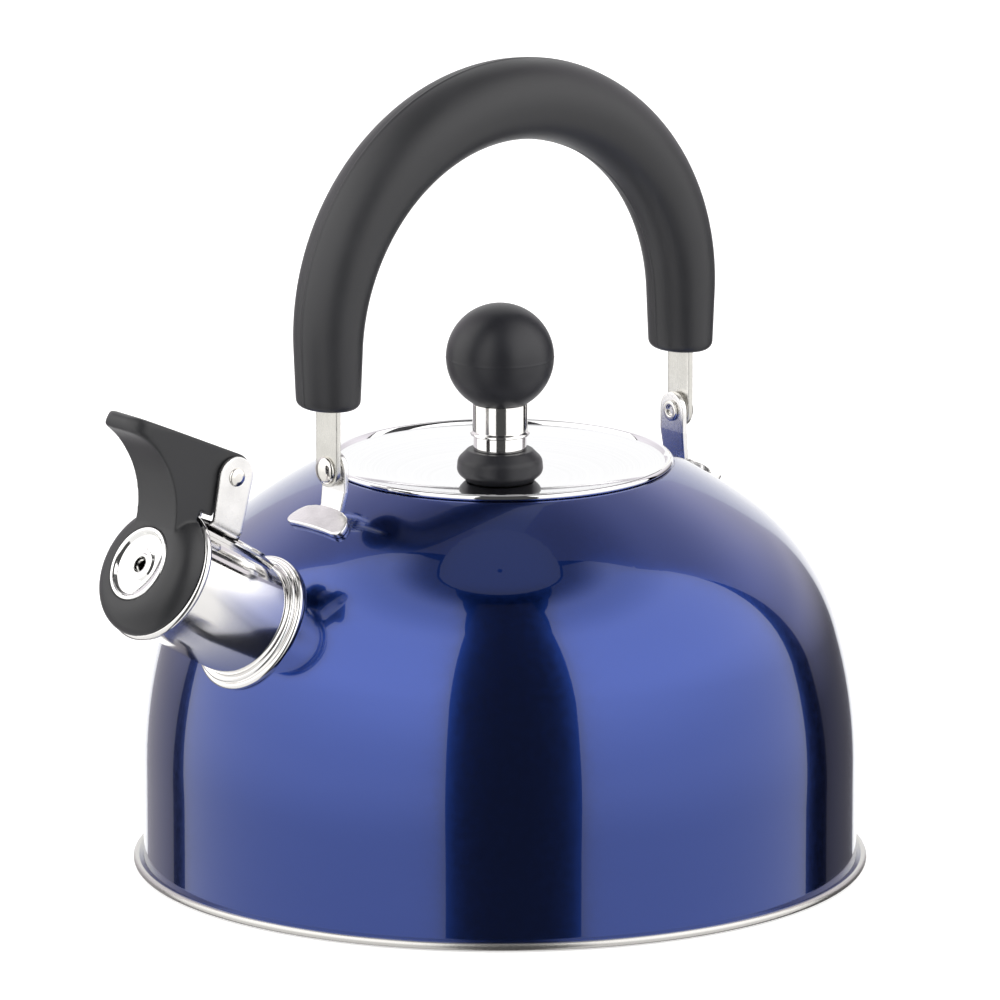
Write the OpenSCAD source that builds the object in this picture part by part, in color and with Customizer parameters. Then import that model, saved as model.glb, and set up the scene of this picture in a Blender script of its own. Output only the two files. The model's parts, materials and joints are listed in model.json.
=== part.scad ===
// Stovetop whistling kettle: domed steel body, lift-off dished lid with ball
// knob, upright folding bail handle and a sprung whistle cap on the spout.
// Millimetres. Base stands on Z = 0, the spout points along -X, the bail
// folds about a level line along X.

/* [Body] */
// Outside diameter of the straight body wall
body_d = 194.4; // [160:0.4:220]
// Height of the straight wall before the dome begins
wall_h = 27.5; // [15:0.5:45]
// Sheet thickness of the body
sheet_t = 0.8; // [0.5:0.1:1.5]
// Height of the rolled seam round the base
seam_h = 2.3; // [1.6:0.1:4]
// How far the rolled seam stands out from the wall
seam_out = 2.8; // [1.5:0.1:4]
// Clear radius of the filler neck as a share of the body radius
neck_share = 0.4609; // [0.38:0.0001:0.5]
// Radius of the rolled edge at the filler neck
neck_roll = 2; // [1.4:0.1:3]
// Depth of the turned-down filler neck below its rolled edge
neck_h = 5; // [3:0.5:8]

/* [Spout] */
// Where the spout axis leaves the dome, as an angle on the dome's middle arc
spout_seat = 30.9; // [24:0.1:38]
// Tilt of the spout axis above level
spout_tilt = 30.2; // [20:0.2:45]
// Outside radius of the spout tube
spout_r = 16.15; // [12:0.05:20]
// Length of the spout from the dome to its lip
spout_len = 35; // [28:0.5:45]
// How far the rolled spout lip stands out from the tube
lip_out = 2.65; // [1.5:0.05:4]
// How far the collar at the root of the spout stands out from the tube
collar_out = 3.05; // [2.4:0.05:5]

/* [Whistle cap] */
// How far the cap stands out from the spout tube at its back face
cap_out = 2.15; // [1:0.05:4]
// Depth of the cap from back face to front face
cap_h = 6.9; // [5:0.1:10]
// Radius of the metal whistle disc
disc_r = 10.5; // [7:0.1:13]
// Width of the thumb lever
lever_w = 17.5; // [12:0.5:20]
// Height of the hinge pin above the top of the spout tube
pin_rise = 15.45; // [13:0.05:20]
// Reach of the lever tip past the front of the cap
lever_reach = 25.8; // [15:0.2:32]
// Whistle hole radius
whistle_hole_r = 2.2; // [1.2:0.1:3]

/* [Bail handle] */
// Height of the bail pivots above the rim of the filler neck
pivot_rise = 6.3; // [5.5:0.1:12]
// Centreline radius of the handle arch as a share of the body radius
arch_share = 0.6204; // [0.58:0.0001:0.68]
// Height of the centre of the arch above the pivots
arch_rise = 33.7; // [24:0.1:50]
// Distance of the bail's middle behind the body axis
bail_shift = 2; // [0:0.5:4]
// Height of the lower ends of the grip above the pivots
grip_end_rise = 17.3; // [13:0.1:22]
// Half thickness of the grip at its crown, in the plane of the arch
grip_a = 11.2; // [9:0.1:14]
// Half width of the grip at its crown
grip_b = 11.6; // [9:0.1:14]
// Half thickness of the grip at its ends
grip_end_a = 8.2; // [6:0.1:11]
// Half width of the grip at its ends
grip_end_b = 9.6; // [6.5:0.1:12]
// Width of the steel strap
strap_w = 9.3; // [8:0.1:14]
// Thickness of the steel strap
strap_t = 1.5; // [1:0.1:2.5]

/* [Handle brackets] */
// Thickness of the bracket sheet
tab_t = 1.5; // [1:0.1:2.5]
// Width of the upright tab
tab_w = 10; // [8:0.1:14]
// Width of the foot welded to the dome
foot_w = 23.6; // [16:0.2:30]
// Length of the foot down the dome
foot_l = 8.4; // [6:0.2:12]
// Space between strap and tab
tab_gap = 0.8; // [0.4:0.1:1.5]
// Radius of the rivet shank
rivet_r = 2; // [1.5:0.1:3]
// Radius of the domed rivet head
rivet_head_r = 3.8; // [3:0.05:5]

/* [Lid and knob] */
// How far the rolled lid edge reaches past the crest of the neck roll
lid_over = 0.2; // [-1:0.1:2.5]
// How far the middle of the lid is dished below its edge
lid_dish = 6; // [3:0.1:8]
// Depth of the ring that locates the lid in the neck
skirt_h = 12; // [8:0.5:16]
// Radius of the knob ball
ball_r = 14.7; // [11:0.1:18]
// Height of the middle of the ball above the rim of the filler neck
ball_rise = 29.5; // [26:0.1:38]
// Radius of the metal ferrule under the ball
ferrule_r = 7.5; // [5:0.1:9]
// Radius of the knob foot at its widest
knob_foot_r = 11.8; // [9:0.1:14]

/* [Hidden] */
$fn = 96;
eps = 0.01;
cut = 60;

// running clearance of turning parts and play between seated parts
run_gap = 0.05;
seat_gap = 0.02;
fit_gap = 0.15;

body_r = body_d / 2;
neck_r = neck_share * body_r;

// the dome is three tangent arcs, each a fixed share of the body radius
arc_r = [1.3755 * body_r, 0.6116 * body_r, 1.4397 * body_r];
arc_a = [0, 16.7, 52.1];
arc_parts = [8, 12, 7, 10];
function dir(a) = [cos(a), sin(a)];
arc_c0 = [body_r - arc_r[0], wall_h];
arc_c1 = arc_c0 + (arc_r[0] - arc_r[1]) * dir(arc_a[1]);
arc_c2 = arc_c1 + (arc_r[1] - arc_r[2]) * dir(arc_a[2]);
arc_c = [arc_c0, arc_c1, arc_c2];
join_low = arc_c0 + arc_r[0] * dir(arc_a[1]);
join_high = arc_c1 + arc_r[1] * dir(arc_a[2]);

function on_arc_z(i, r) = arc_c[i][1] + sqrt(arc_r[i] * arc_r[i] - pow(r - arc_c[i][0], 2));
function on_arc_r(i, z) = arc_c[i][0] + sqrt(arc_r[i] * arc_r[i] - pow(z - arc_c[i][1], 2));
function dome_z(r) =
    r < join_high[0] ? on_arc_z(2, r) : r < join_low[0] ? on_arc_z(1, r) : on_arc_z(0, r);
function dome_r(z) =
    z > join_high[1] ? on_arc_r(2, z) : z > join_low[1] ? on_arc_r(1, z) : on_arc_r(0, z);

// rolled edge at the neck, tangent to the top arc and to the neck wall
roll_x = neck_r + neck_roll;
roll_z = arc_c2[1] + sqrt(pow(arc_r[2] - neck_roll, 2) - pow(roll_x - arc_c2[0], 2));
roll_a = atan2(roll_z - arc_c2[1], roll_x - arc_c2[0]);
rim_z = roll_z + neck_roll;
neck_bottom_z = roll_z - neck_h;

// base
base_t = 1.2;
seam_r = body_r + seam_out - seam_h / 2;
contact_r = 0.86 * body_r;
base_lift = 0.8;

// spout
spout_root = arc_c1 + arc_r[1] * dir(spout_seat);
spout_in = 6;
lip_r = spout_r + lip_out;
collar_r = spout_r + collar_out;
spout_bore_r = spout_r - sheet_t;
lip_bead = 1.3;
collar_bead = 1;
collar_step_r = spout_r + 1.7;
collar_seat = 0.16;

// whistle cap, measured along the spout from the dome
cap_r = spout_r + cap_out;
cap_back = spout_len + 0.2;
cap_front = cap_back + cap_h;
cap_round = 6.5;
cap_recess_r = cap_r - 4.3;
cap_recess_h = 1.3;
lever_back = cap_back + 1.3;
lever_wall = 3;
lever_slot_w = 9.2;
lever_curve_r = 25.5;
lever_tip = cap_front + lever_reach;
pin_t = spout_r + pin_rise;
lever_curve_s = lever_tip - 1.3;
lever_curve_t = pin_t - 27.6;
lever_root_t = disc_r - 1.5;
lever_corner = 6;
tip_r = 2.3;
tip_t = pin_t + 0.1;
tip_s = lever_tip - tip_r;
hub_r = 6.2;
pin_s = cap_back - 4;
pin_r = 1.6;
pin_head_r = 2.6;
pin_head_h = 1;
cup_t = 0.6;

// hinge bracket on the spout
ear_t = 1.2;
ear_r = 5.5;
ear_in = lever_w / 2 + 0.45;
ear_out = ear_in + ear_t;
ear_base_w = 10.2;
ear_base_s = pin_s - 4.4;
web_t0 = spout_r + 0.9;
web_h = 1.2;
cheek_low = max(web_t0 + web_h, lip_r) + 0.5;
cheek_back = pin_s + 1;
rail_w = 12.4;
rail_t = 1.1;
rail_start = 4.5;
rib_r = 1.7;

// return spring
wire_r = 0.55;
coil_r = 3.4;
coil_pitch = 1.5;
coil_count = 3;
coil_steps = 45;
wire_sides = 6;
spring_lean = 15;
spring_leg_web = (pin_t - coil_r * sin(spring_lean) - web_t0 - web_h - 0.3) / cos(spring_lean);
spring_leg_lever = 14;

// bail
arch_r = arch_share * body_r;
pivot_z = rim_z + pivot_rise;
arch_z = pivot_z + arch_rise;
grip_end_z = pivot_z + grip_end_rise;
leg_h = arch_z - grip_end_z;
arch_len = PI * arch_r / 2;
half_len = leg_h + arch_len;
grip_round = 2.2;
strap_end_r = strap_w / 2;

// brackets
front_leg_r = arch_r - bail_shift;
rear_leg_r = arch_r + bail_shift;
tab_offset = strap_t / 2 + tab_gap + tab_t;
tab_fillet = 1.6;
foot_corner = min(4, 0.48 * foot_l);
eyelet_r = 2.9;
eyelet_h = 0.8;
rivet_head_h = 2;
washer_r = 4;

// lid
lid_t = 0.7;
lid_r = neck_r + neck_roll + lid_over;
bead_r = 0.9;
bead_x = lid_r - bead_r;
bead_z = rim_z + bead_r + seat_gap;
dish_r = (pow(bead_x, 2) + pow(lid_dish, 2)) / (2 * lid_dish);
dish_z = bead_z - lid_dish;
skirt_r = neck_r - 0.6;
skirt_t = 0.7;
skirt_top_z = dish_z + dish_r - sqrt(pow(dish_r + lid_t, 2) - pow(skirt_r - skirt_t, 2));

// knob
ball_z = rim_z + ball_rise;
knob_foot_base_r = 10;
knob_foot_h = 8.6;
knob_foot_z = dish_z + 0.35;
ferrule_z = knob_foot_z + knob_foot_h;
ferrule_lip_z = ferrule_z + 4.6;
ferrule_lip_r = ferrule_r + 0.65;
ferrule_top_z = ball_z - sqrt(ball_r * ball_r - ferrule_r * ferrule_r) + 0.6;
screw_r = 2;
screw_head_r = 4.2;
screw_head_h = 2.4;
washer_h = 0.8;
knob_washer_r = 7;

steel = [0.80, 0.80, 0.82];
chrome = [0.90, 0.90, 0.92];
blue = [0.16, 0.18, 0.62];
black = [0.12, 0.12, 0.14];
alloy = [0.72, 0.73, 0.75];

// which sub-part to draw

// ---------- shared outlines ----------

// points on an arc after its first one
function arc_points(c, r, a0, a1, n) = [for (i = [1 : n]) c + r * dir(a0 + (a1 - a0) * i / n)];

// half section of the skin from the base over the dome to the neck, moved in
// by d (out when d is negative)
function skin(d) = concat(
    [[body_r - d, base_t], [body_r - d, wall_h]],
    arc_points(arc_c0, arc_r[0] - d, arc_a[0], arc_a[1], arc_parts[0]),
    arc_points(arc_c1, arc_r[1] - d, arc_a[1], arc_a[2], arc_parts[1]),
    arc_points(arc_c2, arc_r[2] - d, arc_a[2], roll_a, arc_parts[2]),
    arc_points([roll_x, roll_z], neck_roll - d, roll_a, 180, arc_parts[3])
);
function backwards(list) = [for (i = [len(list) - 1 : -1 : 0]) list[i]];

// solid of revolution under the skin, moved out by g
module body_solid(g) {
    rotate_extrude()
        polygon(concat(skin(-g), [[neck_r - g, base_t]]));
}

module ring_section(x, z, r) {
    translate([x, z])
        circle(r);
}

// local X points up across the spout, local Z runs out along it
module at_spout() {
    translate([-spout_root[0], 0, spout_root[1]])
        rotate([0, spout_tilt - 90, 0])
            children();
}

// side view outline, drawn as [up, along], made w wide across the spout
module across(w) {
    rotate([90, 0, 0])
        linear_extrude(height = w, center = true)
            children();
}

module tube(r, hole_r, z0, z1) {
    difference() {
        translate([0, 0, z0])
            cylinder(r = r, h = z1 - z0);
        translate([0, 0, z0 - 1])
            cylinder(r = hole_r, h = z1 - z0 + 2);
    }
}

module disc_x(r, x0, x1, z) {
    translate([x0, 0, z])
        rotate([0, 90, 0])
            cylinder(r = r, h = x1 - x0);
}

// ---------- body ----------

module body_shell() {
    color(blue)
        difference() {
            rotate_extrude()
                polygon(concat(
                    skin(0),
                    [[neck_r, neck_bottom_z], [neck_r + sheet_t, neck_bottom_z]],
                    backwards(skin(sheet_t))
                ));
            at_spout()
                translate([0, 0, -cut / 2])
                    cylinder(r = spout_r + seat_gap, h = cut);
        }
}

module base_plate() {
    color(steel)
        rotate_extrude()
            difference() {
                union() {
                    translate([0, base_lift])
                        square([seam_r, base_t - base_lift]);
                    translate([contact_r - 4, 0])
                        square([4, base_t]);
                    ring_section(seam_r, seam_h / 2, seam_h / 2);
                }
                translate([body_r - sheet_t - seat_gap, base_t])
                    square([sheet_t + 2 * seat_gap, seam_h]);
            }
}

// bonded disc that stands on the hob
module base_disc() {
    groove_r = [0.22, 0.44, 0.66];
    color(alloy)
        difference() {
            cylinder(r = contact_r - 4 - seat_gap, h = base_lift - seat_gap);
            for (g = groove_r)
                rotate_extrude()
                    translate([g * body_r, 0])
                        circle(0.4);
        }
}

// ---------- spout ----------

module spout_tube() {
    color(chrome)
        at_spout()
            rotate_extrude()
                union() {
                    translate([spout_bore_r, -spout_in])
                        square([sheet_t, spout_in + spout_len - lip_bead]);
                    translate([spout_bore_r, spout_len - 1.6 * lip_bead])
                        square([lip_r - lip_bead - spout_bore_r, 1.6 * lip_bead]);
                    ring_section(lip_r - lip_bead, spout_len - lip_bead, lip_bead);
                }
}

module spout_collar() {
    color(chrome)
        difference() {
            at_spout()
                rotate_extrude()
                    union() {
                        translate([spout_r + seat_gap, -8])
                            square([collar_r - spout_r - seat_gap, 8 - 0.3 - collar_bead]);
                        translate([spout_r + seat_gap, -4])
                            square([collar_r - collar_bead - spout_r - seat_gap, 4 - 0.7]);
                        ring_section(collar_r - collar_bead, -0.3 - collar_bead, collar_bead);
                        translate([spout_r + seat_gap, -4])
                            square([collar_step_r - 0.6 - spout_r - seat_gap, 5.2]);
                        ring_section(collar_step_r - 0.75, 0.45, 0.75);
                    }
            body_solid(collar_seat);
        }
}

// ---------- hinge of the whistle cap ----------

module ear_outline() {
    difference() {
        union() {
            translate([pin_t, pin_s])
                circle(ear_r);
            polygon([
                [web_t0, ear_base_s - ear_base_w / 2],
                [web_t0, ear_base_s + ear_base_w / 2],
                [pin_t - 1.3, pin_s + ear_r - 0.15],
                [pin_t + 1.3, pin_s - ear_r + 0.15]
            ]);
        }
        translate([pin_t, pin_s])
            circle(pin_r + run_gap);
    }
}

module hinge_bracket() {
    web_s0 = ear_base_s - ear_base_w / 2;
    color(steel)
        at_spout()
            difference() {
                union() {
                    for (side = [-1, 1])
                        translate([0, side * (ear_in + ear_t / 2), 0])
                            across(ear_t)
                                ear_outline();
                    translate([web_t0, -ear_out, web_s0])
                        cube([web_h, 2 * ear_out, ear_base_w]);
                    intersection() {
                        tube(spout_r + rail_t, spout_r, rail_start, spout_len - 4);
                        translate([0, -rail_w / 2, 0])
                            cube([cut, rail_w, cut]);
                    }
                    translate([spout_r + 0.4, 0, rail_start + 2])
                        cylinder(r = rib_r, h = web_s0 - rail_start);
                }
                translate([0, 0, -1])
                    cylinder(r = spout_r, h = cut);
            }
}

module hinge_pin() {
    color(steel)
        at_spout()
            translate([pin_t, 0, pin_s])
                rotate([90, 0, 0]) {
                    cylinder(r = pin_r, h = 2 * (ear_out + pin_head_h), center = true);
                    for (side = [-1, 1])
                        translate([0, 0, side * (ear_out + seat_gap + pin_head_h / 2)])
                            cylinder(
                                r1 = side > 0 ? pin_head_r : 0.7 * pin_head_r,
                                r2 = side > 0 ? 0.7 * pin_head_r : pin_head_r,
                                h = pin_head_h,
                                center = true
                            );
                }
}

// torsion spring round the pin: one leg on the bracket, one on the lever,
// as a round wire along a path in the plane [up, along] and across
coil_from = 180;
coil_to = 90 + 360 * coil_count;
function coil_point(a) = [
    coil_r * cos(a),
    (0.5 - (a - coil_from) / (coil_to - coil_from)) * coil_pitch * coil_count,
    coil_r * sin(a)
];
spring_path = concat(
    [coil_point(coil_from) + [0, 0, spring_leg_lever], coil_point(coil_from) + [0, 0, spring_leg_lever / 2]],
    [for (i = [0 : coil_steps]) coil_point(coil_from + i * (coil_to - coil_from) / coil_steps)],
    [coil_point(coil_to) - [spring_leg_web / 2, 0, 0], coil_point(coil_to) - [spring_leg_web, 0, 0]]
);

module return_spring() {
    n = len(spring_path);
    points = [
        for (i = [0 : n - 1])
            let (
                ahead = spring_path[min(i + 1, n - 1)] - spring_path[max(i - 1, 0)],
                t = ahead / norm(ahead),
                u = cross(t, [0, 1, 0]) / norm(cross(t, [0, 1, 0])),
                v = cross(u, t)
            )
                for (k = [0 : wire_sides - 1])
                    let (a = 360 * k / wire_sides)
                        spring_path[i] + wire_r * (cos(a) * u + sin(a) * v)
    ];
    sides = [
        for (i = [0 : n - 2])
            for (k = [0 : wire_sides - 1])
                let (m = (k + 1) % wire_sides)
                    [i * wire_sides + k, (i + 1) * wire_sides + k, (i + 1) * wire_sides + m, i * wire_sides + m]
    ];
    first = [[for (k = [0 : wire_sides - 1]) k]];
    last = [[for (k = [wire_sides - 1 : -1 : 0]) (n - 1) * wire_sides + k]];
    color(steel)
        at_spout()
            translate([pin_t, 0, pin_s])
                rotate([0, -spring_lean, 0])
                    polyhedron(points = points, faces = concat(first, sides, last), convexity = 6);
}

module heel_pad() {
    pad_w = 6;
    pad_l = 5.5;
    web_s0 = ear_base_s - ear_base_w / 2;
    color(black)
        at_spout()
            difference() {
                translate([spout_r + rail_t + seat_gap, -pad_w / 2, web_s0 - pad_l])
                    cube([2.4, pad_w, pad_l - seat_gap]);
                translate([spout_r + 0.4, 0, 0])
                    cylinder(r = rib_r + seat_gap, h = cut);
            }
}

// ---------- whistle cap ----------

module lever_outline() {
    difference() {
        union() {
            translate([pin_t, pin_s])
                circle(hub_r);
            polygon([
                [lever_root_t, lever_back],
                [cheek_low, lever_back],
                [cheek_low, cheek_back],
                [pin_t, cheek_back],
                [pin_t, pin_s],
                [pin_t + hub_r - 0.03, pin_s + 0.6],
                [tip_t + tip_r, tip_s],
                [lever_root_t, tip_s]
            ]);
        }
        translate([lever_curve_t, lever_curve_s])
            circle(lever_curve_r);
    }
    translate([tip_t, tip_s])
        circle(tip_r);
}

// hollow behind the thumb face, open towards the hinge
module lever_pocket() {
    intersection() {
        difference() {
            union() {
                translate([pin_t, pin_s])
                    circle(hub_r + 1);
                polygon([
                    [cheek_low - 1, cheek_back - 1],
                    [pin_t, pin_s - hub_r],
                    [pin_t + hub_r - lever_wall, pin_s + hub_r],
                    [pin_t + 1.2, lever_tip - 16],
                    [pin_t - 1, lever_tip - 16],
                    [cheek_low - 1, cap_front]
                ]);
            }
            translate([lever_curve_t, lever_curve_s])
                circle(lever_curve_r + lever_wall);
        }
        translate([0, 0])
            square([pin_t + hub_r + 2, lever_tip]);
    }
}

// plan of the lever with a rounded tip, drawn as [across, along]
module lever_plan() {
    inner = lever_w / 2 - lever_corner;
    translate([-lever_w / 2, 0])
        square([lever_w, lever_tip - lever_corner]);
    translate([-inner, 0])
        square([2 * inner, lever_tip]);
    for (side = [-1, 1])
        translate([side * inner, lever_tip - lever_corner])
            circle(lever_corner);
}

module cap_ring_section() {
    difference() {
        union() {
            intersection() {
                ring_section(cap_r - cap_round, cap_front - cap_round, cap_round);
                translate([0, cap_back])
                    square([cap_r + 1, cap_h]);
            }
            translate([0, cap_back])
                square([cap_r, cap_front - cap_round - cap_back + eps]);
            translate([0, cap_back])
                square([cap_r - cap_round, cap_h]);
        }
        translate([0, cap_back - 1])
            square([disc_r + seat_gap, cap_h + 2]);
        translate([0, cap_back - 1])
            square([cap_recess_r, cap_recess_h + 1]);
    }
}

module whistle_lever() {
    color(black)
        at_spout()
            difference() {
                union() {
                    rotate_extrude()
                        cap_ring_section();
                    intersection() {
                        across(lever_w)
                            lever_outline();
                        rotate([90, 0, 90])
                            linear_extrude(height = cut)
                                lever_plan();
                    }
                }
                across(lever_slot_w)
                    lever_pocket();
                across(cut)
                    translate([pin_t, pin_s])
                        circle(pin_r + run_gap);
                translate([0, 0, cap_back - 1])
                    cylinder(r = disc_r + seat_gap, h = cut);
                translate([0, 0, cap_back - 1])
                    cylinder(r = cap_recess_r, h = cap_recess_h + 1);
            }
}

module whistle_cup() {
    cup_back = cap_back + cap_recess_h + 0.2;
    boss_r = 0.42 * disc_r;
    color(chrome)
        at_spout()
            rotate_extrude()
                difference() {
                    union() {
                        translate([0, cup_back])
                            square([disc_r, cap_front - cup_back - 0.4]);
                        ring_section(disc_r - 0.65, cap_front - 0.3, 0.65);
                        translate([0, cap_front - 1])
                            square([boss_r - 0.6, 0.4]);
                        ring_section(boss_r - 0.6, cap_front - 1.2, 0.6);
                    }
                    translate([0, cup_back - 1])
                        square([disc_r - cup_t, cap_front - cup_back - 2.4]);
                    intersection() {
                        ring_section((boss_r + disc_r - 1.3) / 2, cap_front + 0.2, 2.1);
                        translate([boss_r - 0.1, 0])
                            square([disc_r - 1.2 - boss_r, cut * 2]);
                    }
                    translate([0, 0])
                        square([whistle_hole_r, cut * 2]);
                }
}

module whistle_plate() {
    plate_s = cap_back + cap_recess_h + 0.5;
    color(chrome)
        at_spout()
            difference() {
                translate([0, 0, plate_s])
                    cylinder(r = disc_r - cup_t - seat_gap, h = cup_t);
                translate([0, 0, plate_s - 1])
                    cylinder(r = 0.8 * whistle_hole_r, h = 3);
            }
}

// ---------- bail handle ----------

function leg_x(side) = bail_shift + side * arch_r;

// path of the bail, q = 0 at the front end, 1 at the crown, 2 at the rear end
function path_d(q) = (q - 1) * half_len;
function path_pos(q) =
    abs(path_d(q)) > arch_len
        ? [sign(path_d(q)) * arch_r, arch_z - (abs(path_d(q)) - arch_len)]
        : [arch_r * sin(path_d(q) / arch_r * 180 / PI), arch_z + arch_r * cos(path_d(q) / arch_r * 180 / PI)];
function path_out(q) =
    abs(path_d(q)) > arch_len
        ? [sign(path_d(q)), 0]
        : [sin(path_d(q) / arch_r * 180 / PI), cos(path_d(q) / arch_r * 180 / PI)];
function from_end(q) = half_len - abs(path_d(q));
function end_inset(q) =
    from_end(q) < grip_round
        ? grip_round - sqrt(grip_round * grip_round - pow(grip_round - from_end(q), 2))
        : 0;
function swell(q) = 1 - pow(abs(q - 1), 2);
function half_a(q) = grip_end_a + (grip_a - grip_end_a) * swell(q) - end_inset(q);
function half_b(q) = grip_end_b + (grip_b - grip_end_b) * swell(q) - end_inset(q);

grip_sides = 24;
grip_fine = [0, 0.2, 0.5, 1];
grip_steps = 28;
grip_q = concat(
    [for (f = grip_fine) f * grip_round / half_len],
    [for (i = [1 : grip_steps - 1]) (i / grip_steps) * (2 - 2 * grip_round / half_len) + grip_round / half_len],
    [for (i = [len(grip_fine) - 1 : -1 : 0]) 2 - grip_fine[i] * grip_round / half_len]
);

module grip_solid() {
    rings = len(grip_q);
    points = [
        for (q = grip_q)
            for (k = [0 : grip_sides - 1])
                let (a = 360 * k / grip_sides)
                    [
                        path_pos(q)[0] + path_out(q)[0] * half_a(q) * cos(a),
                        half_b(q) * sin(a),
                        path_pos(q)[1] + path_out(q)[1] * half_a(q) * cos(a)
                    ]
    ];
    sides = [
        for (i = [0 : rings - 2])
            for (k = [0 : grip_sides - 1])
                let (n = (k + 1) % grip_sides)
                    [
                        i * grip_sides + k,
                        (i + 1) * grip_sides + k,
                        (i + 1) * grip_sides + n,
                        i * grip_sides + n
                    ]
    ];
    first = [[for (k = [0 : grip_sides - 1]) k]];
    last = [[for (k = [grip_sides - 1 : -1 : 0]) (rings - 1) * grip_sides + k]];
    translate([bail_shift, 0, 0])
        polyhedron(points = points, faces = concat(first, sides, last), convexity = 6);
}

// flat band along the bail path, grown by g on every side
module band(g, bottom_z) {
    w = strap_w + 2 * g;
    t = strap_t + 2 * g;
    translate([bail_shift, 0, arch_z])
        rotate([90, 0, 0])
            rotate_extrude(angle = 180)
                translate([arch_r - t / 2, -w / 2])
                    square([t, w]);
    for (side = [-1, 1])
        translate([leg_x(side) - t / 2, -w / 2, bottom_z])
            cube([t, w, arch_z - bottom_z]);
}

module handle_grip() {
    color(black)
        difference() {
            grip_solid();
            band(fit_gap, grip_end_z - 1);
        }
}

module handle_strap() {
    color(steel)
        difference() {
            union() {
                band(0, pivot_z);
                for (side = [-1, 1])
                    disc_x(strap_end_r, leg_x(side) - strap_t / 2, leg_x(side) + strap_t / 2, pivot_z);
            }
            for (side = [-1, 1])
                disc_x(rivet_r + run_gap, leg_x(side) - strap_t, leg_x(side) + strap_t, pivot_z);
        }
}

// outline of a foot seen from above, running out from x0
module foot_outline(x0) {
    inner = foot_w / 2 - foot_corner;
    translate([x0, -inner])
        square([foot_l, 2 * inner]);
    translate([x0 + foot_corner, -foot_w / 2])
        square([foot_l - 2 * foot_corner, foot_w]);
    for (side = [-1, 1])
        for (x = [x0 + foot_corner, x0 + foot_l - foot_corner])
            translate([x, side * inner])
                circle(foot_corner);
}

// bracket on the +X side for a strap leg at radius leg_r
module bracket(leg_r) {
    x0 = leg_r - tab_offset;
    x1 = x0 + tab_t;
    z_foot = dome_z(x1);
    difference() {
        union() {
            intersection() {
                body_solid(tab_t);
                linear_extrude(height = 2 * pivot_z)
                    foot_outline(x0 + 0.4);
            }
            translate([x0, -tab_w / 2, z_foot - 2])
                cube([tab_t, tab_w, pivot_z - z_foot + 2]);
            disc_x(tab_w / 2, x0, x1, pivot_z);
            difference() {
                translate([x1 - eps, -tab_w / 2, z_foot - 1])
                    cube([tab_fillet, tab_w, tab_fillet + 1 + tab_t]);
                translate([x1 + tab_fillet, 0, z_foot + tab_t + tab_fillet])
                    rotate([90, 0, 0])
                        cylinder(r = tab_fillet, h = cut, center = true);
            }
        }
        body_solid(0);
        disc_x(rivet_r + seat_gap, x0 - 1, x1 + 1, pivot_z);
    }
}

module front_bracket() {
    color(steel)
        mirror([1, 0, 0])
            bracket(front_leg_r);
}

module rear_bracket() {
    color(steel)
        bracket(rear_leg_r);
}

// tubular rivet on the +X side: domed head outside, rolled eyelet inside
module rivet(leg_r) {
    x_in = leg_r - tab_offset;
    x_head = leg_r + strap_t / 2 + run_gap;
    bore_r = rivet_r - 0.7;
    crown_r = (rivet_head_r * rivet_head_r + rivet_head_h * rivet_head_h) / (2 * rivet_head_h);
    crown_z = x_head + rivet_head_h - crown_r;
    translate([0, 0, pivot_z])
        rotate([0, 90, 0])
            rotate_extrude()
                polygon(concat(
                    [
                        [0, x_in + tab_t],
                        [bore_r, x_in + tab_t],
                        [bore_r, x_in - eyelet_h],
                        [eyelet_r - 0.3, x_in - eyelet_h],
                        [eyelet_r, x_in - eyelet_h + 0.3],
                        [eyelet_r, x_in - 0.2],
                        [eyelet_r - 0.2, x_in - seat_gap],
                        [rivet_r, x_in - seat_gap],
                        [rivet_r, x_head],
                        [rivet_head_r, x_head]
                    ],
                    arc_points([0, crown_z], crown_r, asin(1 - rivet_head_h / crown_r), 90, 8)
                ));
}

module bail_rivets() {
    color(chrome) {
        rivet(rear_leg_r);
        mirror([1, 0, 0])
            rivet(front_leg_r);
    }
}

module bail_washer(leg_r) {
    x0 = leg_r - strap_t / 2 - tab_gap;
    difference() {
        disc_x(washer_r, x0 + seat_gap, x0 + tab_gap - run_gap, pivot_z);
        disc_x(rivet_r + seat_gap, x0 - 1, x0 + tab_gap + 1, pivot_z);
    }
}

module bail_washers() {
    color(steel) {
        bail_washer(rear_leg_r);
        mirror([1, 0, 0])
            bail_washer(front_leg_r);
    }
}

// ---------- lid ----------

module lid_cover() {
    color(chrome)
        rotate_extrude()
            difference() {
                union() {
                    intersection() {
                        difference() {
                            ring_section(0, dish_z + dish_r, dish_r + lid_t);
                            ring_section(0, dish_z + dish_r, dish_r);
                        }
                        translate([0, dish_z - 2])
                            square([bead_x, lid_dish + 2]);
                    }
                    ring_section(bead_x, bead_z, bead_r);
                }
                translate([-1, dish_z - 5])
                    square([1 + screw_r + seat_gap, 10]);
            }
}

module lid_skirt() {
    color(steel)
        difference() {
            translate([0, 0, skirt_top_z - skirt_h])
                cylinder(r = skirt_r, h = skirt_h + 2);
            translate([0, 0, skirt_top_z - skirt_h - 1])
                cylinder(r = skirt_r - skirt_t, h = skirt_h + 6);
            translate([0, 0, dish_z + dish_r])
                sphere(dish_r + lid_t + seat_gap);
        }
}

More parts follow.
